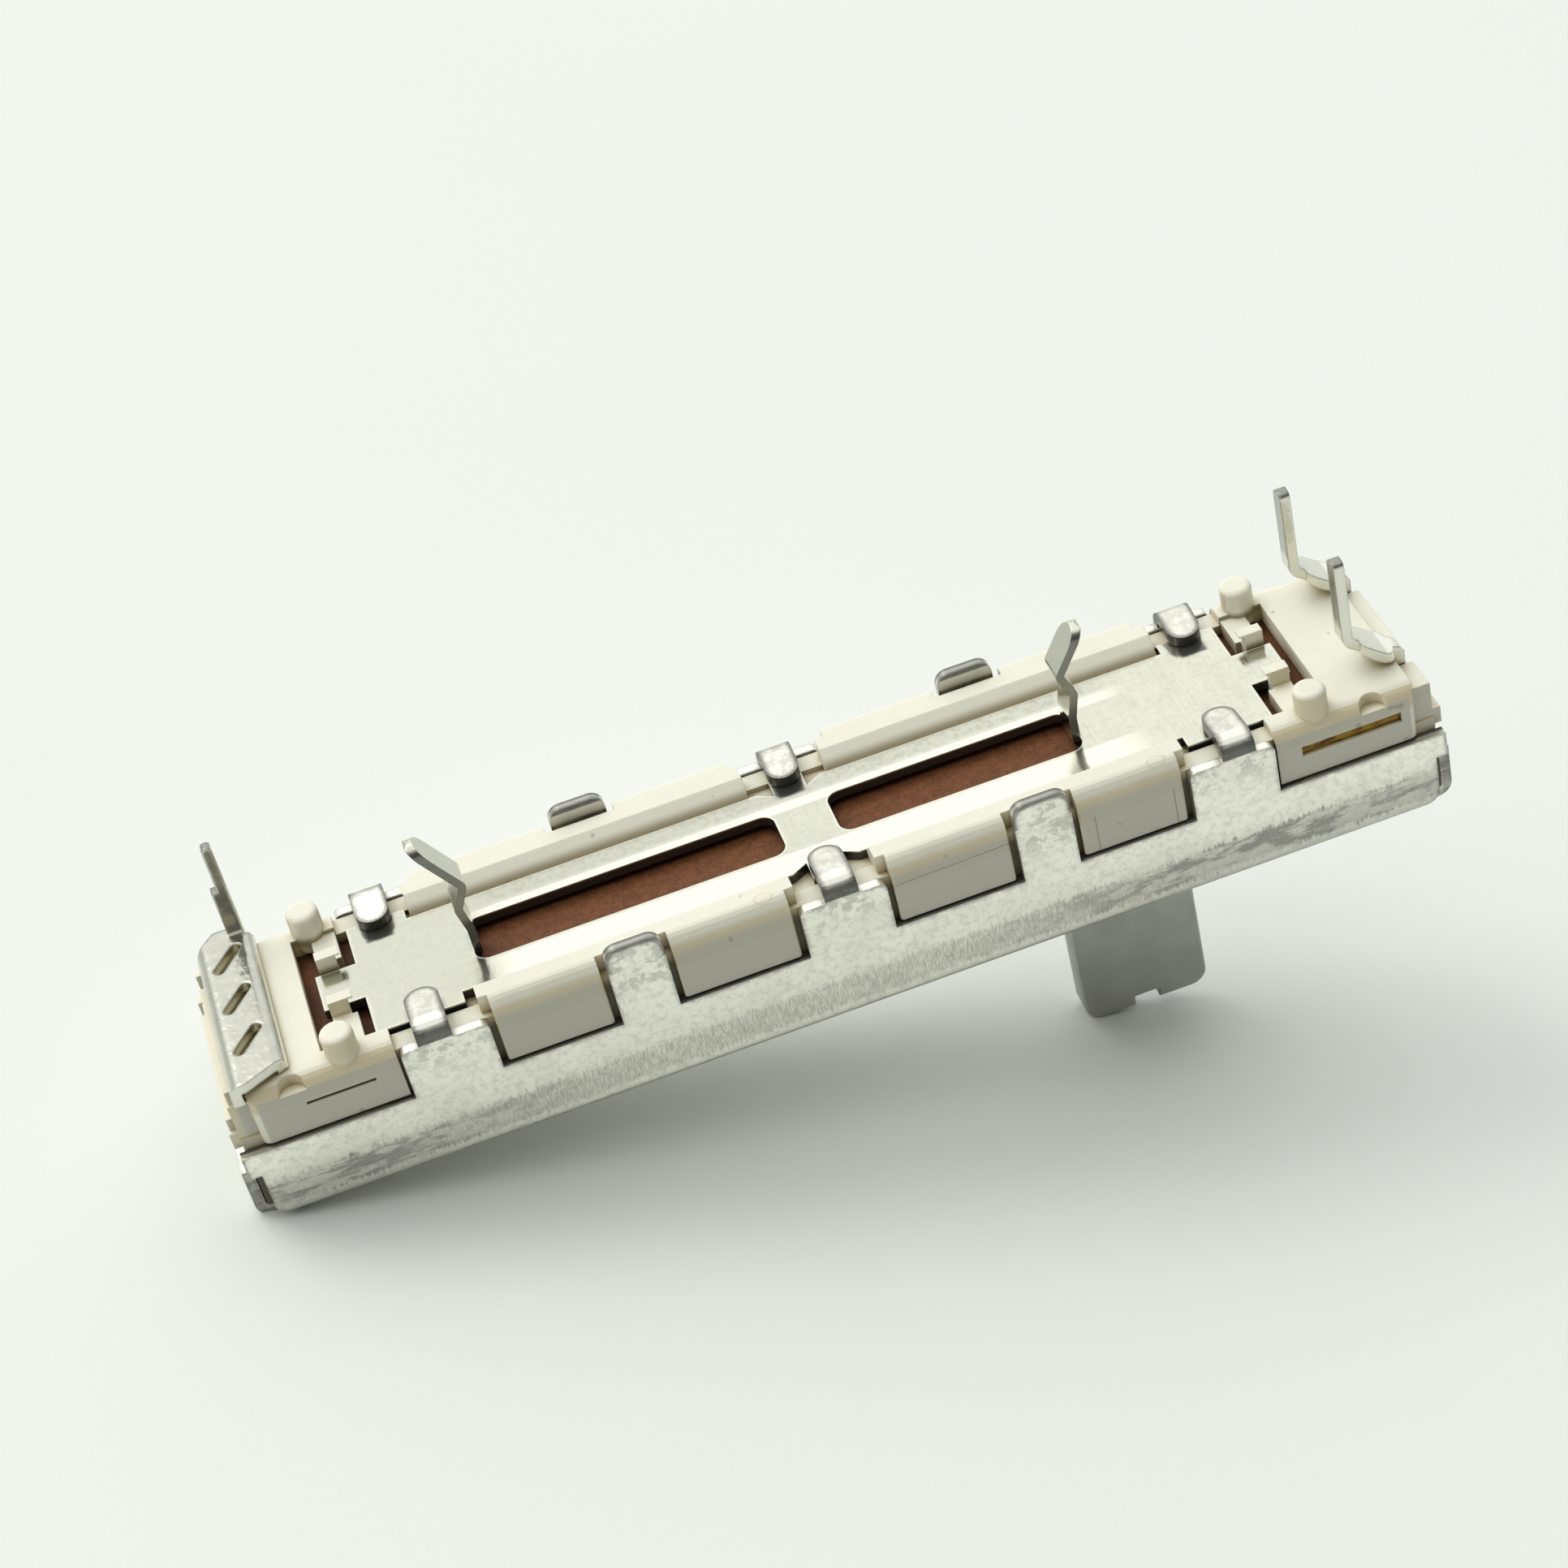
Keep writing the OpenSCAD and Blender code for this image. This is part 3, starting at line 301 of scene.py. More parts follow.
class Finish(Net):
    """A material whose nodes are written as expressions in millimetres of the part's frame."""

    def __init__(self, name, constants=None):
        self.material = bpy.data.materials.new(name)
        self.material.use_nodes = True
        super().__init__(self.material.node_tree)
        self.shader = self.tree.nodes["Principled BSDF"]
        for socket, value in (constants or {}).items():
            self.shader.inputs[socket].default_value = value
        self.spot = self.node("ShaderNodeVectorMath", {"operation": "SCALE"}, {
            0: self.node("ShaderNodeTexCoord", out="Object"), "Scale": 1 / MM})

    def axes(self, vector=None):
        """The three numbers of a vector, by default the place on the part."""
        split = self.node("ShaderNodeSeparateXYZ", None, {0: vector or self.spot}).socket.node
        return [Wire(self, socket) for socket in split.outputs]

    def facing(self):
        """The three numbers of the surface's normal."""
        return self.axes(self.node("ShaderNodeTexCoord", out="Normal"))

    def turned(self, share):
        """1 where a face points a given way, by the share of its normal along that way."""
        return self.ease(share, 0.5, 0.8)

    def past_middle(self, place):
        """1 on the positive side of the middle, from a millimetre on."""
        return self.ease(place, 0, 1)

    def noise(self, scale, detail=2.0, stretch=(1, 1, 1), rough=0.5):
        """Noise in cycles to the millimetre, times a stretch on each axis."""
        place = self.node("ShaderNodeVectorMath", {"operation": "MULTIPLY"}, {0: self.spot, 1: stretch})
        return self.node("ShaderNodeTexNoise", None, {
            "Vector": place, "Scale": scale, "Detail": detail, "Roughness": rough})

    def beside_clip(self, x, clip_x):
        """Distance along the case from the nearest of a wall's three clips."""
        return self.math("MINIMUM", abs(x), abs(abs(x) - clip_x))

    def crevice(self, reach):
        """1 deep in a corner, 0 in the open."""
        open_sky = self.node("ShaderNodeAmbientOcclusion", {"samples": CORNER_RAYS}, {
            "Distance": reach * MM}, "AO")
        return 1 - open_sky

    def rounded(self, radius):
        """The normal of a surface whose edges are rounded by a radius."""
        return self.node("ShaderNodeBevel", {"samples": EDGE_RAYS}, {"Radius": radius * MM})

    def edge(self, reach):
        """1 right on an edge, 0 farther from it than a reach."""
        flat = self.node("ShaderNodeNewGeometry", out="True Normal")
        return 1 - self.along(self.rounded(reach), flat)

    def mix(self, factor, first, second):
        """One colour turning into another."""
        return self.node("ShaderNodeMix", {"data_type": "RGBA"}, {0: factor, 6: first, 7: second}, 2)

    def bump(self, height, depth, edge=0.05):
        """Relief over edges that look rounded by a small radius."""
        return self.node("ShaderNodeBump", None, {
            "Distance": depth * MM, "Height": height, "Normal": self.rounded(edge)})

    def feed_surface(self, **sockets):
        """Feeds what changes over the surface, painted light and shade in the colour included."""
        names = {"colour": "Base Color", "rough": "Roughness", "metal": "Metallic", "normal": "Normal"}
        for key, value in sockets.items():
            self.feed(self.shader.inputs[names[key]], value)
        return self.material


def tint(shade, share):
    """A colour made darker or lighter by a share."""
    return tuple(min(1.0, part * share) for part in shade)


def mould_marks(f, spot, normal):
    """Masks of the frame's thin lines and of its two gates."""
    x, y, z = spot
    _, ny, nz = normal
    front = f.turned(0 - ny)
    seam = 0
    for seam_x in SEAM_X:
        seam = seam + f.band(abs(x - seam_x), 0, 0.012, 0.012)
    below = 1 - f.ease(z, SHOULDER_Z[0] - 0.05, SHOULDER_Z[0] + 0.1)
    seam = seam * front * below * f.ease(z, SILL_Z - 0.1, SILL_Z + 0.2)
    crease = f.band(abs(z - CREASE_Z - x * CREASE_SLOPE), 0, 0.012, 0.014) * f.band(x, *CREASE_X, 0.1)
    gate = 0
    for gate_x, gate_y in GATES:
        away = f.math("SQRT", (x - gate_x) ** 2 + ((y - gate_y) * 1.5) ** 2)
        gate = gate + f.band(away, GATE_RADIUS, GATE_RADIUS + 0.04, 0.05) * f.ease(nz, 0.6, 0.9)
    return f.most(seam, crease * front), gate


def frame_shade(f, spot, normal, deep):
    """Mask of painted shade on the frame: deep corners, gaps between rails, undersides and slits."""
    x, y, z = spot
    nx, ny, nz = normal
    inside = 1 - f.ease(abs(y), WALL_Y - 0.05, WALL_Y + 0.1)
    sunk = f.ease(abs(nx) + f.ease(abs(ny), 0.6, 0.8) * inside, 0.7, 0.9)
    between = f.ease(abs(y), GAP_Y, GAP_Y + 0.3) * (1 - f.ease(abs(x), BLOCK_X, BLOCK_X + 0.3))
    gap = sunk * between * (1 - f.ease(z, *GAP_Z))
    under = f.turned(0 - nz)
    slit = f.ease(abs(x), SLIT_X, SLIT_X + 0.2) * (1 - f.ease(z, SLIT_Z - 0.3, SLIT_Z))
    tray = f.ease(0 - x, TRAY_X, TRAY_X + 0.3) * f.turned(nz) * f.ease(z, BLOCK_Z - 0.2, BLOCK_Z - 0.1)
    return f.most(f.ease(deep, 0.6, 0.85) * 0.9, gap * 0.85, under * 0.8, slit * 0.9) * (1 - tray)


def cream_plastic(colours):
    """Moulded frame: fine grain, marks of the mould, painted warm shade on shoulders, peg sides and corners,
    painted shade on upright sides, in gaps and underneath, and painted light on the rear rails' inner faces.
    """
    f = Finish("cream_plastic", {
        "IOR": 1.49,
        "Subsurface Weight": 0.3,
        "Subsurface Radius": (1.0, 0.8, 0.4),
        "Subsurface Scale": 0.25 * MM,
    })
    spot, normal = f.axes(), f.facing()
    x, y, z = spot
    _, ny, nz = normal
    cloud = f.noise(0.7, 4)
    grain = f.noise(16, 3)
    fleck = f.ease(f.noise(2.3, 0), 0.83, 0.85)
    # Occlusion that drives the painted shade in corners.
    deep = f.crevice(0.6)
    # Painted warm shade on the rails' rounded shoulders.
    shoulder = f.band(abs(ny), 0.6, 0.96, 0.3) * f.band(z, *SHOULDER_Z, 0.25)
    # Painted shade on the upright faces below the shoulders.
    side = f.ease(abs(ny), 0.95, 0.995) * (1 - f.ease(z, SHOULDER_Z[1] - 0.2, SHOULDER_Z[1]))
    rear_face = f.ease(0 - ny, 0.4, 0.6) * f.past_middle(y)
    # Painted light on the rear rails' inner faces.
    inner = rear_face * f.ease(z, PLATE_Z, PLATE_Z + 0.15)
    # Painted shade at the foot of the rear rails' inner faces, next to the plate.
    foot = rear_face * f.band(z, PLATE_Z - 0.02, PLATE_Z + 0.06, 0.3)
    # Painted warm shade on the sides of the pegs.
    round_side = 1 - f.ease(abs(nz), 0.2, 0.6)
    peg = round_side * f.ease(z, BLOCK_Z + 0.02, BLOCK_Z + 0.1) * f.ease(abs(x), PEG_X, PEG_X + 0.5)
    line, gate = mould_marks(f, spot, normal)
    tone = f.mix(f.ease(cloud, 0.35, 0.7) * 0.5, colours.cream, tint(colours.cream, 0.94))
    tone = f.mix(shoulder * 0.5, tone, colours.ochre)
    # Painted shade on the upright faces.
    tone = f.mix(side * 0.85, tone, tint(colours.cream, 0.66))
    # Painted warm shade deep in corners and on the peg sides.
    tone = f.mix(f.most(f.ease(deep, 0.15, 0.75) * 0.8, peg * 0.4), tone, colours.ochre)
    # Painted light: the rear rails' inner faces made paler.
    tone = f.mix(inner * 0.95, tone, tint(colours.cream, 1.18))
    tone = f.mix(foot * 0.75, tone, tint(colours.ochre, 0.4))
    # Painted shade, near black, in gaps, slits, deep corners and on undersides.
    tone = f.mix(frame_shade(f, spot, normal, deep), tone, tint(colours.ochre, 0.06))
    tone = f.mix(line * 0.6, tone, tint(colours.ochre, 0.4))
    tone = f.mix(gate * 0.3, tone, colours.ochre)
    tone = f.mix(fleck * 0.35, tone, tint(colours.ochre, 0.3))
    return f.feed_surface(
        colour=tone,
        rough=0.36 + cloud * 0.12 + grain * 0.1,
        normal=f.bump(grain * 0.4 + cloud * 0.6 - line - gate * 0.6, 0.012),
    )


def wall_shade_and_wear(f, spot, normal, wall):
    """Masks low on the case's walls: painted shade on the foot and on its fold, and a rubbed band of strokes,
    or smears at the ends.
    """
    x, _, z = spot
    _, ny, _ = normal
    ends = f.ease(abs(x - CLEAN_X), *RUBBED_REACH)
    foot = (1 - f.ease(z, *FOOT_Z)) * wall * (0.15 + ends * 0.35)
    fold = (1 - f.ease(z, FOLD_Z - 0.25, FOLD_Z)) * f.ease(abs(ny), 0.05, 0.3)
    ragged = f.noise(1, 3, (10, 10, 0.4), 0.7)
    rubbed = f.band(z + ragged, *RUBBED_Z, 0.2) * (0.55 + ends * 0.35) * wall
    strokes = f.ease(f.noise(1, 4, (20, 20, 2.2), 0.7), 0.44, 0.58)
    smears = f.ease(f.noise(1, 4, (0.8, 0.8, 3.2), 0.6), 0.42, 0.6)
    return f.most(foot, fold * 0.9), rubbed, strokes * (1 - ends * 0.8) + smears * ends


def clip_shade_and_highlight(f, spot, normal, inward):
    """Masks of the case's clips: painted shade on their necks and cut edges, and painted highlights on the
    bends of the front ones.
    """
    x, y, z = spot
    nx, _, nz = normal
    clip = f.ease(abs(abs(x) - TAB_X), TAB_REACH, TAB_REACH + 0.15) * f.ease(z, PLATE_Z - 0.1, PLATE_Z)
    # Painted shade on the neck below each clip's bend.
    neck = clip * (1 - f.ease(z, BEND_Z - 0.1, BEND_Z + 0.02)) * f.ease(0 - inward, 0.3, 0.5)
    # Painted shade on the clips' cut edges.
    cut = clip * f.most(f.turned(abs(nx)), f.turned(inward))
    middle = 1 - f.ease(f.beside_clip(x, CLIP_FRONT_X), 0.28, 0.5)
    # Painted highlight on the bend of each front clip.
    bend = f.ease(z, BEND_Z, BEND_Z + 0.05) * f.ease(abs(y), BEND_Y, BEND_Y + 0.2) * f.ease(nz, 0.2, 0.5)
    return f.most(neck * 0.88, cut * 0.97), clip * bend * middle * (1 - f.past_middle(y))


def tin_steel(colours):
    """Dull tin: blotched plating, worn edges, rubbed walls; painted shade on the foot, sills, corners and tab
    tops, clips and tabs with painted outlines, a painted reflection of the cream rails and painted highlights
    on clip bends.
    """
    f = Finish("tin_steel")
    spot, normal = f.axes(), f.facing()
    x, y, z = spot
    _, ny, nz = normal
    cloud = f.noise(0.8, 5, rough=0.6)
    blotch = f.noise(3.2, 5, rough=0.68)
    patch = f.noise(2.4, 5, rough=0.62)
    veins = 1 - f.ease(abs(f.noise(2.0, 3) - 0.5), 0.0, 0.03)
    wall = f.ease(abs(ny), 0.6, 0.85)
    rear = f.past_middle(y)
    inward = 0 - ny * f.math("SIGN", y)
    near = f.edge(0.4)
    worn = f.ease(near, 0.01, 0.16) * f.ease(patch, 0.43, 0.53) * wall
    scuff = f.ease(z, SILL_Z + 0.3, SILL_Z + 2) * f.ease(patch, 0.5, 0.56) * wall
    low, rubbed, hatch = wall_shade_and_wear(f, spot, normal, wall)
    clip_dark, bend_highlight = clip_shade_and_highlight(f, spot, normal, inward)
    above_plate = f.ease(z, PLATE_Z + 0.1, PLATE_Z + 0.2)
    # Painted shade on up-facing tops of clips and tabs above the plate.
    top = f.ease(nz + rear * 0.3, 0.75, 0.92) * above_plate * (0.5 + f.ease(patch, 0.44, 0.56) * 0.5)
    rear_left = top * rear * (1 - f.ease(x, *CLIP_SHADE_FADE_X))
    # Painted shade on the tops of the plain tabs.
    tab = f.turned(nz) * f.ease(z, TAB_Z - 0.36, TAB_Z - 0.16)
    # Painted reflection of the cream rail on the rear tabs' inner faces, with painted shade at their top.
    inner = rear * f.turned(inward) * f.ease(z, RAIL_Z - 0.11, RAIL_Z - 0.01)
    back = inner * f.ease(z, TAB_Z - 0.22, TAB_Z - 0.14)
    # Painted shade on the sills under the windows, lighter on their outer lips.
    sill = f.turned(nz) * f.band(z, SILL_Z - 0.1, SILL_Z + 0.1, 0.05)
    lip = sill * f.ease(abs(y) + f.ease(abs(x), BLOCK_X, BLOCK_X + 0.3) * 0.1, LIP_Y, LIP_Y + 0.06)
    # Painted shade on the end flaps.
    flap = f.ease(abs(x), FLAP_X, FLAP_X + 0.1) * wall
    # Painted dark outlines along edges above the plate, with occlusion shade in corners and near edges.
    outline = f.ease(f.edge(0.38), 0.01, 0.07) * above_plate
    edges = f.most(f.ease(f.crevice(0.4), 0.2, 0.9) * 0.7, outline * 0.92, f.ease(near, 0.2, 0.4) * 0.5)
    dark = f.most(edges * (1 - inner), clip_dark, flap * 0.4, sill * 0.9, back * 0.8)
    dark = dark * (1 - lip) * (1 - bend_highlight)
    tone = f.mix(f.ease(cloud, 0.35, 0.65) * 0.7, colours.tin, tint(colours.tin, 0.9))
    tone = f.mix(f.ease(blotch, 0.51, 0.58) * 0.3, tone, tint(colours.tin, 0.62))
    tone = f.mix(veins * 0.3, tone, tint(colours.tin, 0.6))
    tone = f.mix(f.most(worn * 0.7, scuff * 0.5), tone, tint(colours.scuffs_and_shade, 1.1))
    # Painted shade on the walls' foot and on the fold under it.
    tone = f.mix(low, tone, tint(colours.tin, 0.4))
    tone = f.mix(rubbed * (0.15 + hatch * 0.8), tone, tint(colours.scuffs_and_shade, 0.9))
    # Painted shade on up-facing tops above the plate, more on the left rear clips and on the plain tabs'
    # tops.
    tone = f.mix(top * 0.8, tone, tint(colours.tin, 0.62))
    tone = f.mix(f.most(rear_left * 0.4, tab * 0.85), tone, tint(colours.tin, 0.42))
    tone = f.mix(lip, tone, tint(colours.tin, 0.7))
    # Painted reflection of the cream rail on the rear tabs' inner faces.
    tone = f.mix((inner - back) * 0.9, tone, tint(colours.cream, 1.15))
    # Painted highlight on the front clips' bends.
    tone = f.mix(bend_highlight, tone, tint(colours.tin, 1.07))
    # Painted shade: corners, outlines, edges, clips, end flaps, sills and tab tops.
    tone = f.mix(dark, tone, tint(colours.scuffs_and_shade, 0.2))
    return f.feed_surface(
        colour=tone,
        metal=0.92 - f.most(dark * 0.3, bend_highlight * 0.8, inner * 0.85),
        rough=0.26 + cloud * 0.14 + rubbed * 0.15,
        normal=f.bump(cloud * 0.5 + blotch * 0.4 - veins * 0.2 - rubbed * hatch * 0.4, 0.014),
    )


def bright_steel(colours):
    """Bright plate: soft orange peel, rolling lines, fine scratches, painted shade on its cut edges and in
    corners, painted reflections of the clips, and painted highlights on its edges and strips.
    """
    f = Finish("bright_steel")
    x, y, z = f.axes()
    nx, ny, nz = f.facing()
    cloud = f.noise(0.9, 4)
    peel = f.noise(4, 4)
    rolled = f.noise(1, 2, (9, 0.35, 9))
    scratch = f.ease(f.noise(1, 1, (14, 0.7, 1)), 0.68, 0.75)
    flat = f.ease(nz, 0.8, 0.95)
    # Painted shade where other parts sit on the plate.
    contact = f.ease(f.crevice(0.3), 0.15, 0.7)
    # Painted shade on the windows' cut rims below the upper face.
    cut = (1 - f.ease(abs(nz), 0.35, 0.65)) * (1 - f.ease(z, PLATE_Z - 0.08, PLATE_Z - 0.02))
    lug_edge = f.turned(abs(ny)) * f.ease(z, PLATE_Z + 0.1, PLATE_Z + 0.3)
    lug_face = f.turned(0 - nx) * f.ease(z, PLATE_Z + 1, PLATE_Z + 1.4) * f.past_middle(x)
    # Painted highlights on the strips beside the windows, with a painted darker strip behind them.
    beside = flat * (1 - f.ease(abs(x), *WINDOW_X))
    front_strip = f.ease(0 - y, WINDOW_Y + 0.05, WINDOW_Y + 0.2)
    rear_strip = f.band(y, WINDOW_Y - 0.05, WINDOW_Y + 0.3, 0.12)
    strip = beside * f.most(front_strip, rear_strip)
    shade = beside * f.ease(y, WINDOW_Y + 0.45, WINDOW_Y + 0.6) * (0.55 + f.ease(peel, 0.45, 0.6) * 0.45)
    # Painted reflection of the rear clips on the plate below them.
    below_clip = 1 - f.ease(f.beside_clip(x, CLIP_REAR_X), 0.4, 0.6)
    mirrored = flat * below_clip * f.band(y, CLIP_TIP_Y - 0.45, CLIP_TIP_Y + 0.1, 0.15)
    dark = f.most(contact * 0.75, cut * 0.95, lug_edge * 0.7, mirrored * 0.85)
    # Painted highlight along the plate's upper edges.
    edge_highlight = flat * f.ease(f.edge(0.22), 0.01, 0.16)
    tone = f.mix(f.ease(cloud, 0.35, 0.7) * 0.6, colours.bright, tint(colours.bright, 0.9))
    tone = f.mix(f.ease(peel, 0.5, 0.64) * 0.3, tone, tint(colours.bright, 0.75))
    # Painted shade towards the plate's left end, fading out to the right.
    tone = f.mix((1 - f.ease(x, *PLATE_SHADE_FADE_X)) * 0.5, tone, tint(colours.bright, 0.74))
    tone = f.mix(f.ease(rolled, 0.48, 0.64) * 0.25, tone, tint(colours.bright, 0.8))
    tone = f.mix(f.most(scratch * 0.15, lug_face * 0.6), tone, tint(colours.bright, 0.6))
    # Painted shade on the rear strip.
    tone = f.mix(shade * 0.5, tone, tint(colours.bright, 0.6))
    # Painted shade in corners and on cut rims, and painted reflections of the clips; the lugs' edges darkened
    # too.
    tone = f.mix(dark, tone, tint(colours.scuffs_and_shade, 0.1))
    # Painted highlights on the upper edges and on the strips beside the windows.
    tone = f.mix(f.most(edge_highlight * 0.9, strip * 0.75), tone, tint(colours.bright, 1.4))
    return f.feed_surface(
        colour=tone,
        metal=1 - f.most(dark * 0.4, edge_highlight * 0.7),
        rough=0.11 + cloud * 0.12 + scratch * 0.1,
        normal=f.bump(peel * 0.6 + rolled * 0.3 - scratch * 0.1, 0.006),
    )


def pin_metal(colours):
    """Shiny plated terminals: soft ripples of the bath, painted highlights on the feet and sides, and painted
    shade on one side of the pins and in corners.
    """
    f = Finish("pin_metal")
    x, _, z = f.axes()
    nx, _, nz = f.facing()
    cloud = f.noise(1.6, 3)
    ripple = f.noise(2.6, 3)
    up = f.ease(nz, 0.4, 0.8)
    pin = f.ease(z, PIN_Z, PIN_Z + 0.5)
    # Painted highlight on the up-facing feet.
    foot = up * f.past_middle(x) * (1 - pin)
    # Painted shade on the pins' tops and left sides, and in corners.
    shaded = pin * f.most(up, f.ease(0 - nx, 0.4, 0.7))
    crevice = f.ease(f.crevice(0.3), 0.3, 0.95)
    tone = f.mix(f.ease(cloud, 0.35, 0.7) * 0.7, colours.pin, tint(colours.pin, 0.86))
    # Painted highlights on the feet and on faces that do not face up.
    tone = f.mix(f.most(foot, (1 - up) * 0.6), tone, tint(colours.pin, 1.6))
    # Painted shade in corners and on one side of the pins.
    tone = f.mix(f.most(crevice * 0.5, shaded * 0.6), tone, tint(colours.scuffs_and_shade, 0.5))
    return f.feed_surface(
        colour=tone,
        metal=1 - f.most(crevice * 0.2, foot * 0.6),
        rough=0.14 + cloud * 0.14,
        normal=f.bump(ripple, 0.02, 0.14),
    )


def laminate(colours):
    """Resistor board: paper fibres in brown resin, with a paler cut edge and painted shade deep in corners.
    """
    f = Finish("phenolic", {"Specular IOR Level": 0.25})
    _, _, nz = f.facing()
    fibre = f.noise(1, 4, (6, 9, 9), 0.65)
    mottle = f.noise(3.2, 4, rough=0.6)
    speckle = f.noise(9, 3)
    streak = f.noise(1, 3, (1.4, 1, 5))
    cut = 1 - f.ease(abs(nz), 0.4, 0.7)
    # Painted shade where the board lies deep under the plate and frame.
    shade = f.ease(f.crevice(1.0), 0.35, 0.9)
    tone = f.mix(f.ease(mottle, 0.3, 0.72), tint(colours.board, 0.75), tint(colours.board, 1.25))
    tone = f.mix(f.ease(fibre, 0.55, 0.75) * 0.5, tone, tint(colours.board, 1.9))
    tone = f.mix(f.ease(speckle, 0.5, 0.62) * 0.45, tone, tint(colours.board, 1.7))
    tone = f.mix(shade * 0.8, tone, tint(colours.board, 0.15))
    edge = f.mix(f.ease(streak, 0.42, 0.62), colours.gold, tint(colours.board, 0.8))
    return f.feed_surface(
        colour=f.mix(cut, tone, edge),
        rough=0.48 + mottle * 0.2,
        normal=f.bump(fibre * 0.6 + mottle * 0.4, 0.015),
    )


def lever_metal(colours):
    """Satin lever, fine upright grain with a few handling marks."""
    f = Finish("lever_metal")
    grain = f.noise(1, 3, (26, 26, 1.2))
    cloud = f.noise(0.8, 3)
    mark = f.ease(f.noise(1, 2, (3, 3, 11)), 0.70, 0.78)
    tone = f.mix(f.ease(cloud, 0.3, 0.7), colours.lever, tint(colours.lever, 0.86))
    tone = f.mix(mark * 0.2, tone, tint(colours.lever, 0.6))
    return f.feed_surface(
        colour=tone,
        metal=0.85 + cloud * 0.1,
        rough=0.36 + grain * 0.14,
        normal=f.bump(grain, 0.003),
    )


def white_plastic(colours):
    """Carriage: plain moulding with fine grain."""
    f = Finish("carriage_plastic", {"IOR": 1.48})
    grain = f.noise(15, 3)
    cloud = f.noise(1.1, 3)
    tone = f.mix(f.ease(cloud, 0.3, 0.7) * 0.5, colours.carriage, tint(colours.carriage, 0.9))
    return f.feed_surface(colour=tone, rough=0.35 + grain * 0.15, normal=f.bump(grain, 0.006))


def printed_film(name, shade, metal):
    """A screen-printed film: ink grain on a cloudy coat."""
    f = Finish(name)
    grain = f.noise(18, 3)
    cloud = f.noise(1.4, 3)
    tone = f.mix(f.ease(cloud, 0.3, 0.7), shade, tint(shade, 0.8))
    return f.feed_surface(
        colour=tone,
        metal=metal - grain * metal * 0.2,
        rough=0.42 + grain * 0.2,
        normal=f.bump(grain, 0.004),
    )


def spring_brass(colours):
    """Wiper: rolled brass strip with fine lines along it."""
    f = Finish("spring_brass")
    rolled = f.noise(1, 2, (0.6, 22, 22))
    cloud = f.noise(1.5, 3)
    tone = f.mix(f.ease(cloud, 0.3, 0.7), colours.brass, tint(colours.brass, 0.82))
    return f.feed_surface(
        colour=tone,
        metal=1 - cloud * 0.1,
        rough=0.2 + rolled * 0.15,
        normal=f.bump(rolled, 0.003),
    )


def pick(thing):
    """Selects one object alone."""
    bpy.ops.object.select_all(action="DESELECT")
    thing.select_set(True)
    bpy.context.view_layer.objects.active = thing


def apply_modifier(piece, kind, **settings):
    """Adds a modifier to the active object and applies it."""
    modifier = piece.modifiers.new(kind.lower(), kind)
    for key, value in settings.items():
        setattr(modifier, key, value)
    bpy.ops.object.modifier_apply(modifier=modifier.name)


def dressed(node, name, edge, finish):
    """A merged copy of a CAD node in its place, with its sharp edges broken."""
    pick(frame["nodes"][node])
    bpy.ops.object.duplicate()
    piece = bpy.context.view_layer.objects.active
    piece.name = piece.data.name = name
    body = piece["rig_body"]
    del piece["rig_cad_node"]
    piece.data.materials.clear()
    bpy.ops.mesh.customdata_custom_splitnormals_clear()
    bpy.ops.object.mode_set(mode="EDIT")
    bpy.ops.mesh.select_all(action="SELECT")
    bpy.ops.mesh.remove_doubles(threshold=MERGE_GAP)
    bpy.ops.object.mode_set(mode="OBJECT")
    apply_modifier(
        piece, "BEVEL", width=edge, segments=1, limit_method="ANGLE", angle_limit=BROKEN_ANGLE,
        use_clamp_overlap=False,
    )
    bpy.ops.object.shade_smooth_by_angle(angle=SMOOTH_ANGLE)
    piece.data.materials.append(finish)
    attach(piece, body)
    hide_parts(node)


def painted(node, finish):
    """A CAD node that keeps its shape and takes a finish."""
    piece = frame["nodes"][node]
    piece.data.materials.clear()
    piece.data.materials.append(finish)


class SLIDEPOT_OT_case(bpy.types.Operator):
    """Gives the folded case its tin"""

    bl_idname = "slidepot.case"
    bl_label = "Case"

    def execute(self, context):
        painted("case", tin_steel(context.scene.slidepot_colours))
        return {"FINISHED"}


class SLIDEPOT_OT_moulding(bpy.types.Operator):
    """Gives the moulded frame its plastic"""

    bl_idname = "slidepot.moulding"
    bl_label = "Frame"

    def execute(self, context):
        painted("frame", cream_plastic(context.scene.slidepot_colours))
        return {"FINISHED"}


class SLIDEPOT_OT_plate(bpy.types.Operator):
    """Makes the bottom plate and its lugs bright"""

    bl_idname = "slidepot.plate"
    bl_label = "Bottom plate"

    def execute(self, context):
        painted("bottom_plate", bright_steel(context.scene.slidepot_colours))
        return {"FINISHED"}


class SLIDEPOT_OT_terminals(bpy.types.Operator):
    """Plates the three terminals"""

    bl_idname = "slidepot.terminals"
    bl_label = "Terminals"

    def execute(self, context):
        finish = pin_metal(context.scene.slidepot_colours)
        for node in ("terminal_left", "terminal_right_rear", "terminal_right_front"):
            painted(node, finish)
        return {"FINISHED"}


class SLIDEPOT_OT_board(bpy.types.Operator):
    """Gives the resistor board its laminate and its printed films"""

    bl_idname = "slidepot.board"
    bl_label = "Board and films"

    def execute(self, context):
        colours = context.scene.slidepot_colours
        dressed(
            "resistor_board", "board_laminate", context.scene.slidepot_edges.board,
            laminate(colours),
        )
        painted("resistive_track", printed_film("carbon", colours.carbon, 0))
        silver = printed_film("silver_film", colours.silver, 0.9)
        for node in ("collector_track", "electrode_left", "electrode_right_rear", "electrode_right_front"):
            painted(node, silver)
        return {"FINISHED"}


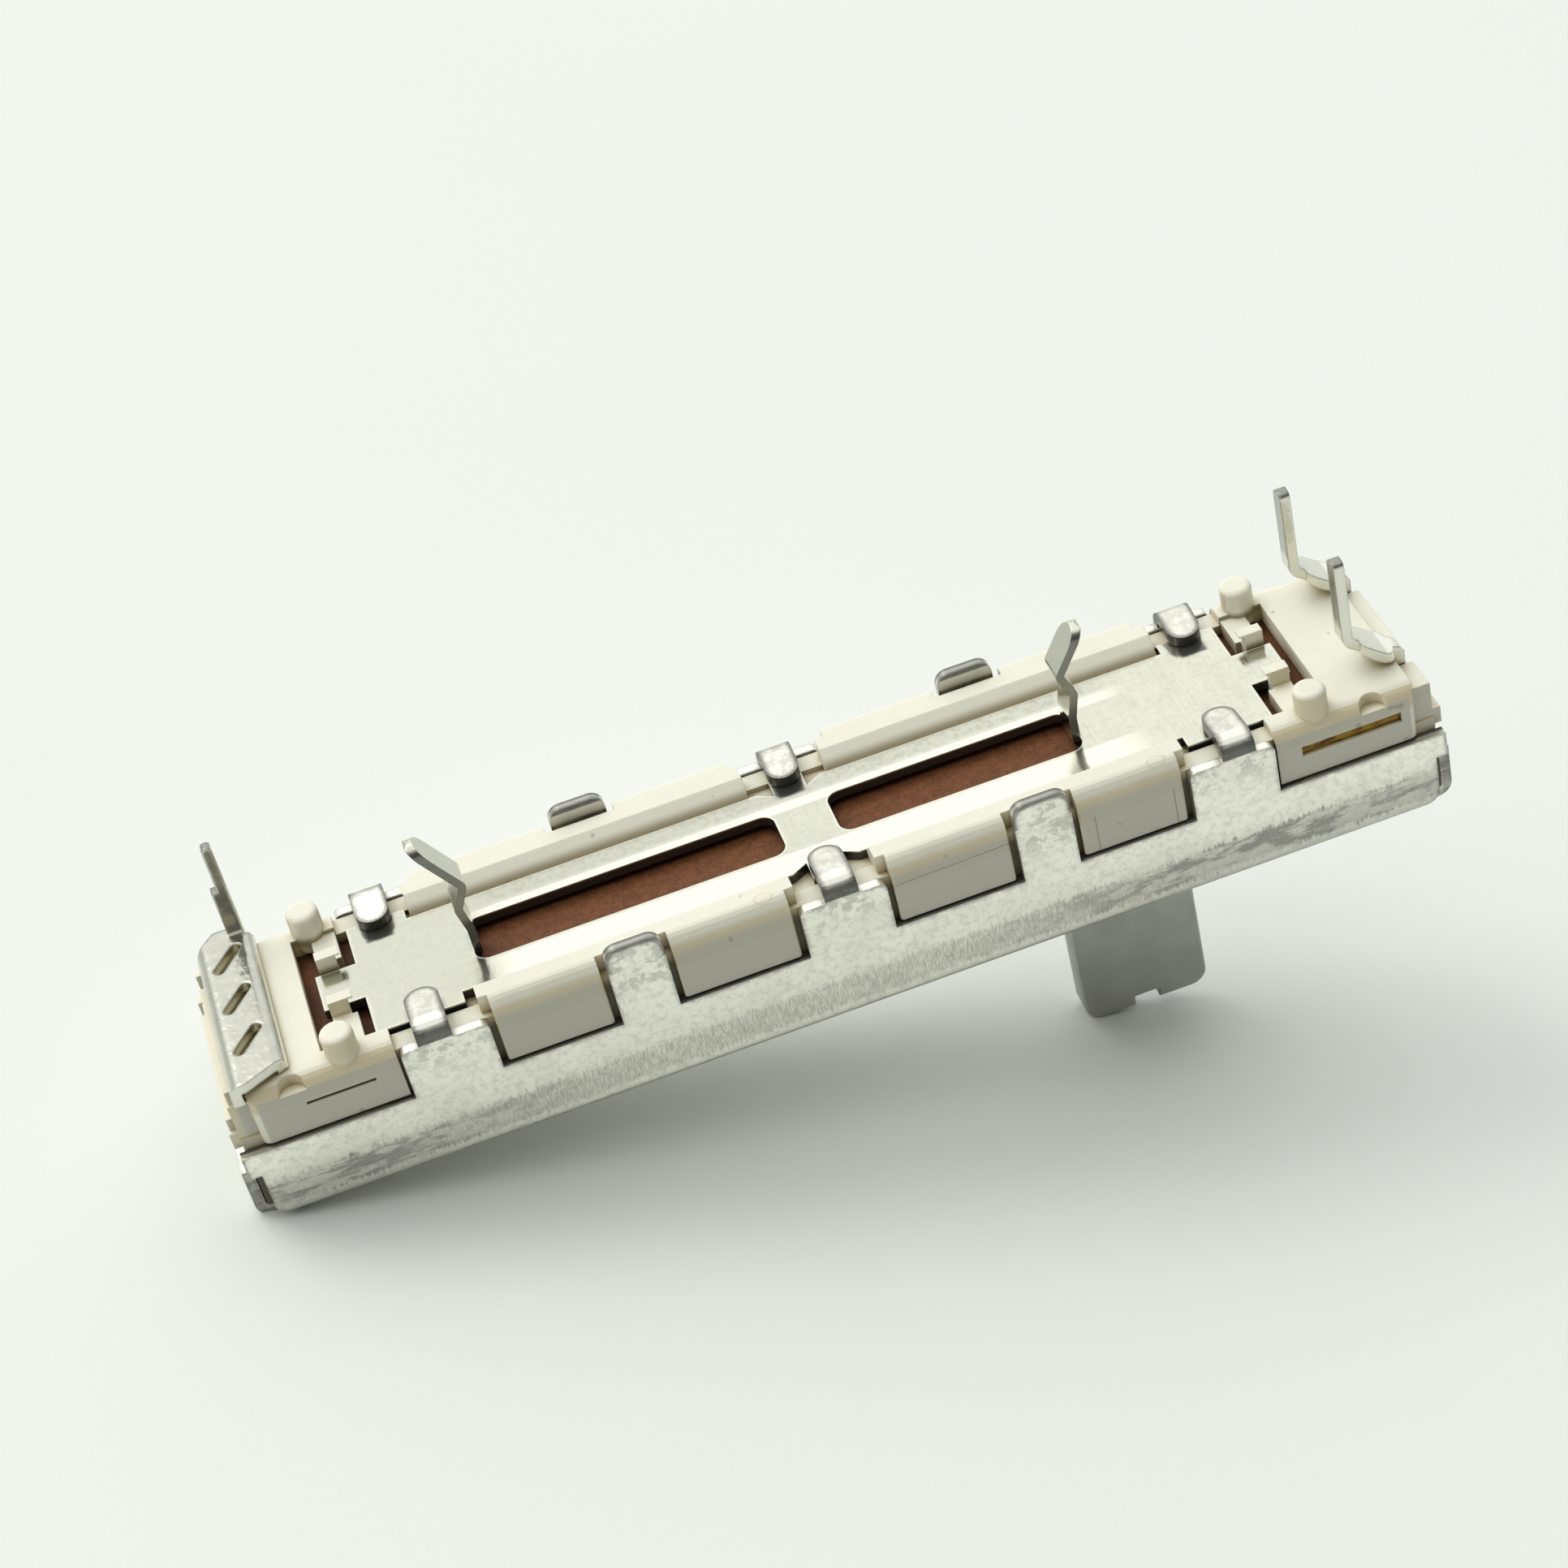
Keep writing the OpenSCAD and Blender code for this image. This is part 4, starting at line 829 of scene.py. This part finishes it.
class SLIDEPOT_OT_slider(bpy.types.Operator):
    """Dresses the lever, its carriage and the wiper"""

    bl_idname = "slidepot.slider"
    bl_label = "Slider"

    def execute(self, context):
        scene = context.scene
        edges, colours = scene.slidepot_edges, scene.slidepot_colours
        dressed("lever", "lever_blade", edges.lever, lever_metal(colours))
        painted("carriage", white_plastic(colours))
        painted("wiper", spring_brass(colours))
        return {"FINISHED"}


class SLIDEPOT_OT_stage(bpy.types.Operator):
    """Lays the floor that the part leans on and sets lights and camera"""

    bl_idname = "slidepot.stage"
    bl_label = "Stage"

    def execute(self, context):
        stage = context.scene.slidepot_stage
        floor_normal = self.floor(stage)
        self.light(context.scene, stage, floor_normal)
        self.camera(context.scene, stage)
        return {"FINISHED"}

    def floor(self, stage):
        """Lays a floor through the case's left lower edge and the lever's tip, and returns its normal."""
        low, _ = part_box("lever")
        left = Vector((-stage.floor_left, 0, REST_HEIGHT))
        tip = Vector((low.x + TIP_INSET, 0, low.z - TIP_GAP))
        tilt = math.atan2(left.z - tip.z, tip.x - left.x)
        bpy.ops.object.select_all(action="DESELECT")
        bpy.ops.mesh.primitive_plane_add(size=stage.floor_size, location=tip, rotation=(0, tilt, 0))
        floor = bpy.context.view_layer.objects.active
        floor.name = "floor"
        bpy.ops.object.mode_set(mode="EDIT")
        bpy.ops.mesh.subdivide(number_cuts=3)
        bpy.ops.object.mode_set(mode="OBJECT")
        bpy.ops.object.transform_apply(location=True, rotation=True, scale=True)
        f = Finish("floor", {"Roughness": 0.9, "Specular IOR Level": 0.1})
        cloud = f.noise(0.02, 3)
        tooth = f.noise(3, 3)
        tone = f.mix(f.ease(cloud, 0.3, 0.7) * 0.4, stage.floor, tint(stage.floor, 0.985))
        floor.data.materials.append(f.feed_surface(colour=tone, normal=f.bump(tooth, 0.01)))
        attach(floor, "slider")
        # The tilted floor sinks as it follows the lever to the left. It never rises into the case.
        stop = floor.constraints.new("LIMIT_LOCATION")
        stop.use_max_x = True
        stop.max_x = 0
        return floor.data.polygons[0].normal

    def light(self, scene, stage, floor_normal):
        """A soft sky, bright behind and above and dim in front, a pale backdrop and one wide lamp."""
        world = scene.world or bpy.data.worlds.new("studio")
        scene.world = world
        world.use_nodes = True
        net = Net(world.node_tree)
        background = net.tree.nodes["Background"].inputs
        direction = net.node("ShaderNodeTexCoord", out="Generated")
        behind = net.ease(net.along(direction, SKY_AXIS), *SKY_FADE)
        sky = stage.sky_front + behind * (stage.sky_back - stage.sky_front)
        low = 1 - net.ease(abs(net.along(direction, floor_normal)), *BACKDROP_FADE)
        rays = ("Is Camera Ray", "Is Glossy Ray", "Is Transmission Ray")
        seen = net.most(*[net.node("ShaderNodeLightPath", out=ray) for ray in rays])
        net.feed(background["Color"], SKY_TINT)
        net.feed(background["Strength"], sky + (stage.backdrop - sky) * low * seen)
        bpy.ops.object.light_add(type="AREA", location=LAMP_PLACE)
        lamp = bpy.context.view_layer.objects.active
        lamp.name = "key_lamp"
        lamp.rotation_euler = (-lamp.location).to_track_quat("-Z", "Y").to_euler()
        lamp.data.size = stage.lamp_size
        lamp.data.energy = stage.lamp
        lamp.data.color = LAMP_TINT

    def camera(self, scene, stage):
        """The photograph's camera."""
        bpy.ops.object.camera_add()
        camera = bpy.context.view_layer.objects.active
        camera.name = "photo_camera"
        turn = Matrix((CAMERA_RIGHT, -Vector(CAMERA_DOWN), -Vector(CAMERA_AHEAD))).transposed()
        camera.matrix_world = Matrix.Translation(CAMERA_PLACE) @ turn.to_4x4()
        camera.data.lens = stage.lens
        camera.data.sensor_width = SENSOR_WIDTH
        camera.data.clip_start, camera.data.clip_end = CAMERA_REACH
        scene.camera = camera
        scene.view_settings.view_transform = "Standard"


class SLIDEPOT_PT_panel(bpy.types.Panel):
    """Lists the pieces and the values of the slide potentiometer"""

    bl_idname = "SLIDEPOT_PT_panel"
    bl_label = "Slide potentiometer"
    bl_space_type = "VIEW_3D"
    bl_region_type = "UI"
    bl_category = "Slide pot"

    def draw(self, context):
        for group in GROUPS:
            box = self.layout.box()
            values = getattr(context.scene, group)
            for name in values.__annotations__:
                box.prop(values, name)
        for operator in OPERATORS:
            self.layout.operator(operator.bl_idname)


GROUPS = {
    "slidepot_edges": SlidePotEdges,
    "slidepot_colours": SlidePotColours,
    "slidepot_stage": SlidePotStage,
}
OPERATORS = (
    SLIDEPOT_OT_case,
    SLIDEPOT_OT_moulding,
    SLIDEPOT_OT_plate,
    SLIDEPOT_OT_terminals,
    SLIDEPOT_OT_board,
    SLIDEPOT_OT_slider,
    SLIDEPOT_OT_stage,
)
CLASSES = (*GROUPS.values(), *OPERATORS, SLIDEPOT_PT_panel)


def register():
    """Adds the classes and the scene's values to Blender."""
    for made in CLASSES:
        bpy.utils.register_class(made)
    for name, group in GROUPS.items():
        setattr(bpy.types.Scene, name, bpy.props.PointerProperty(type=group))


def unregister():
    """Takes them out again."""
    for name in GROUPS:
        delattr(bpy.types.Scene, name)
    for made in reversed(CLASSES):
        bpy.utils.unregister_class(made)


def main():
    """Dresses every piece and sets the stage."""
    register()
    bpy.ops.slidepot.case()
    bpy.ops.slidepot.moulding()
    bpy.ops.slidepot.plate()
    bpy.ops.slidepot.terminals()
    bpy.ops.slidepot.board()
    bpy.ops.slidepot.slider()
    bpy.ops.slidepot.stage()


if __name__ == "__main__":
    main()
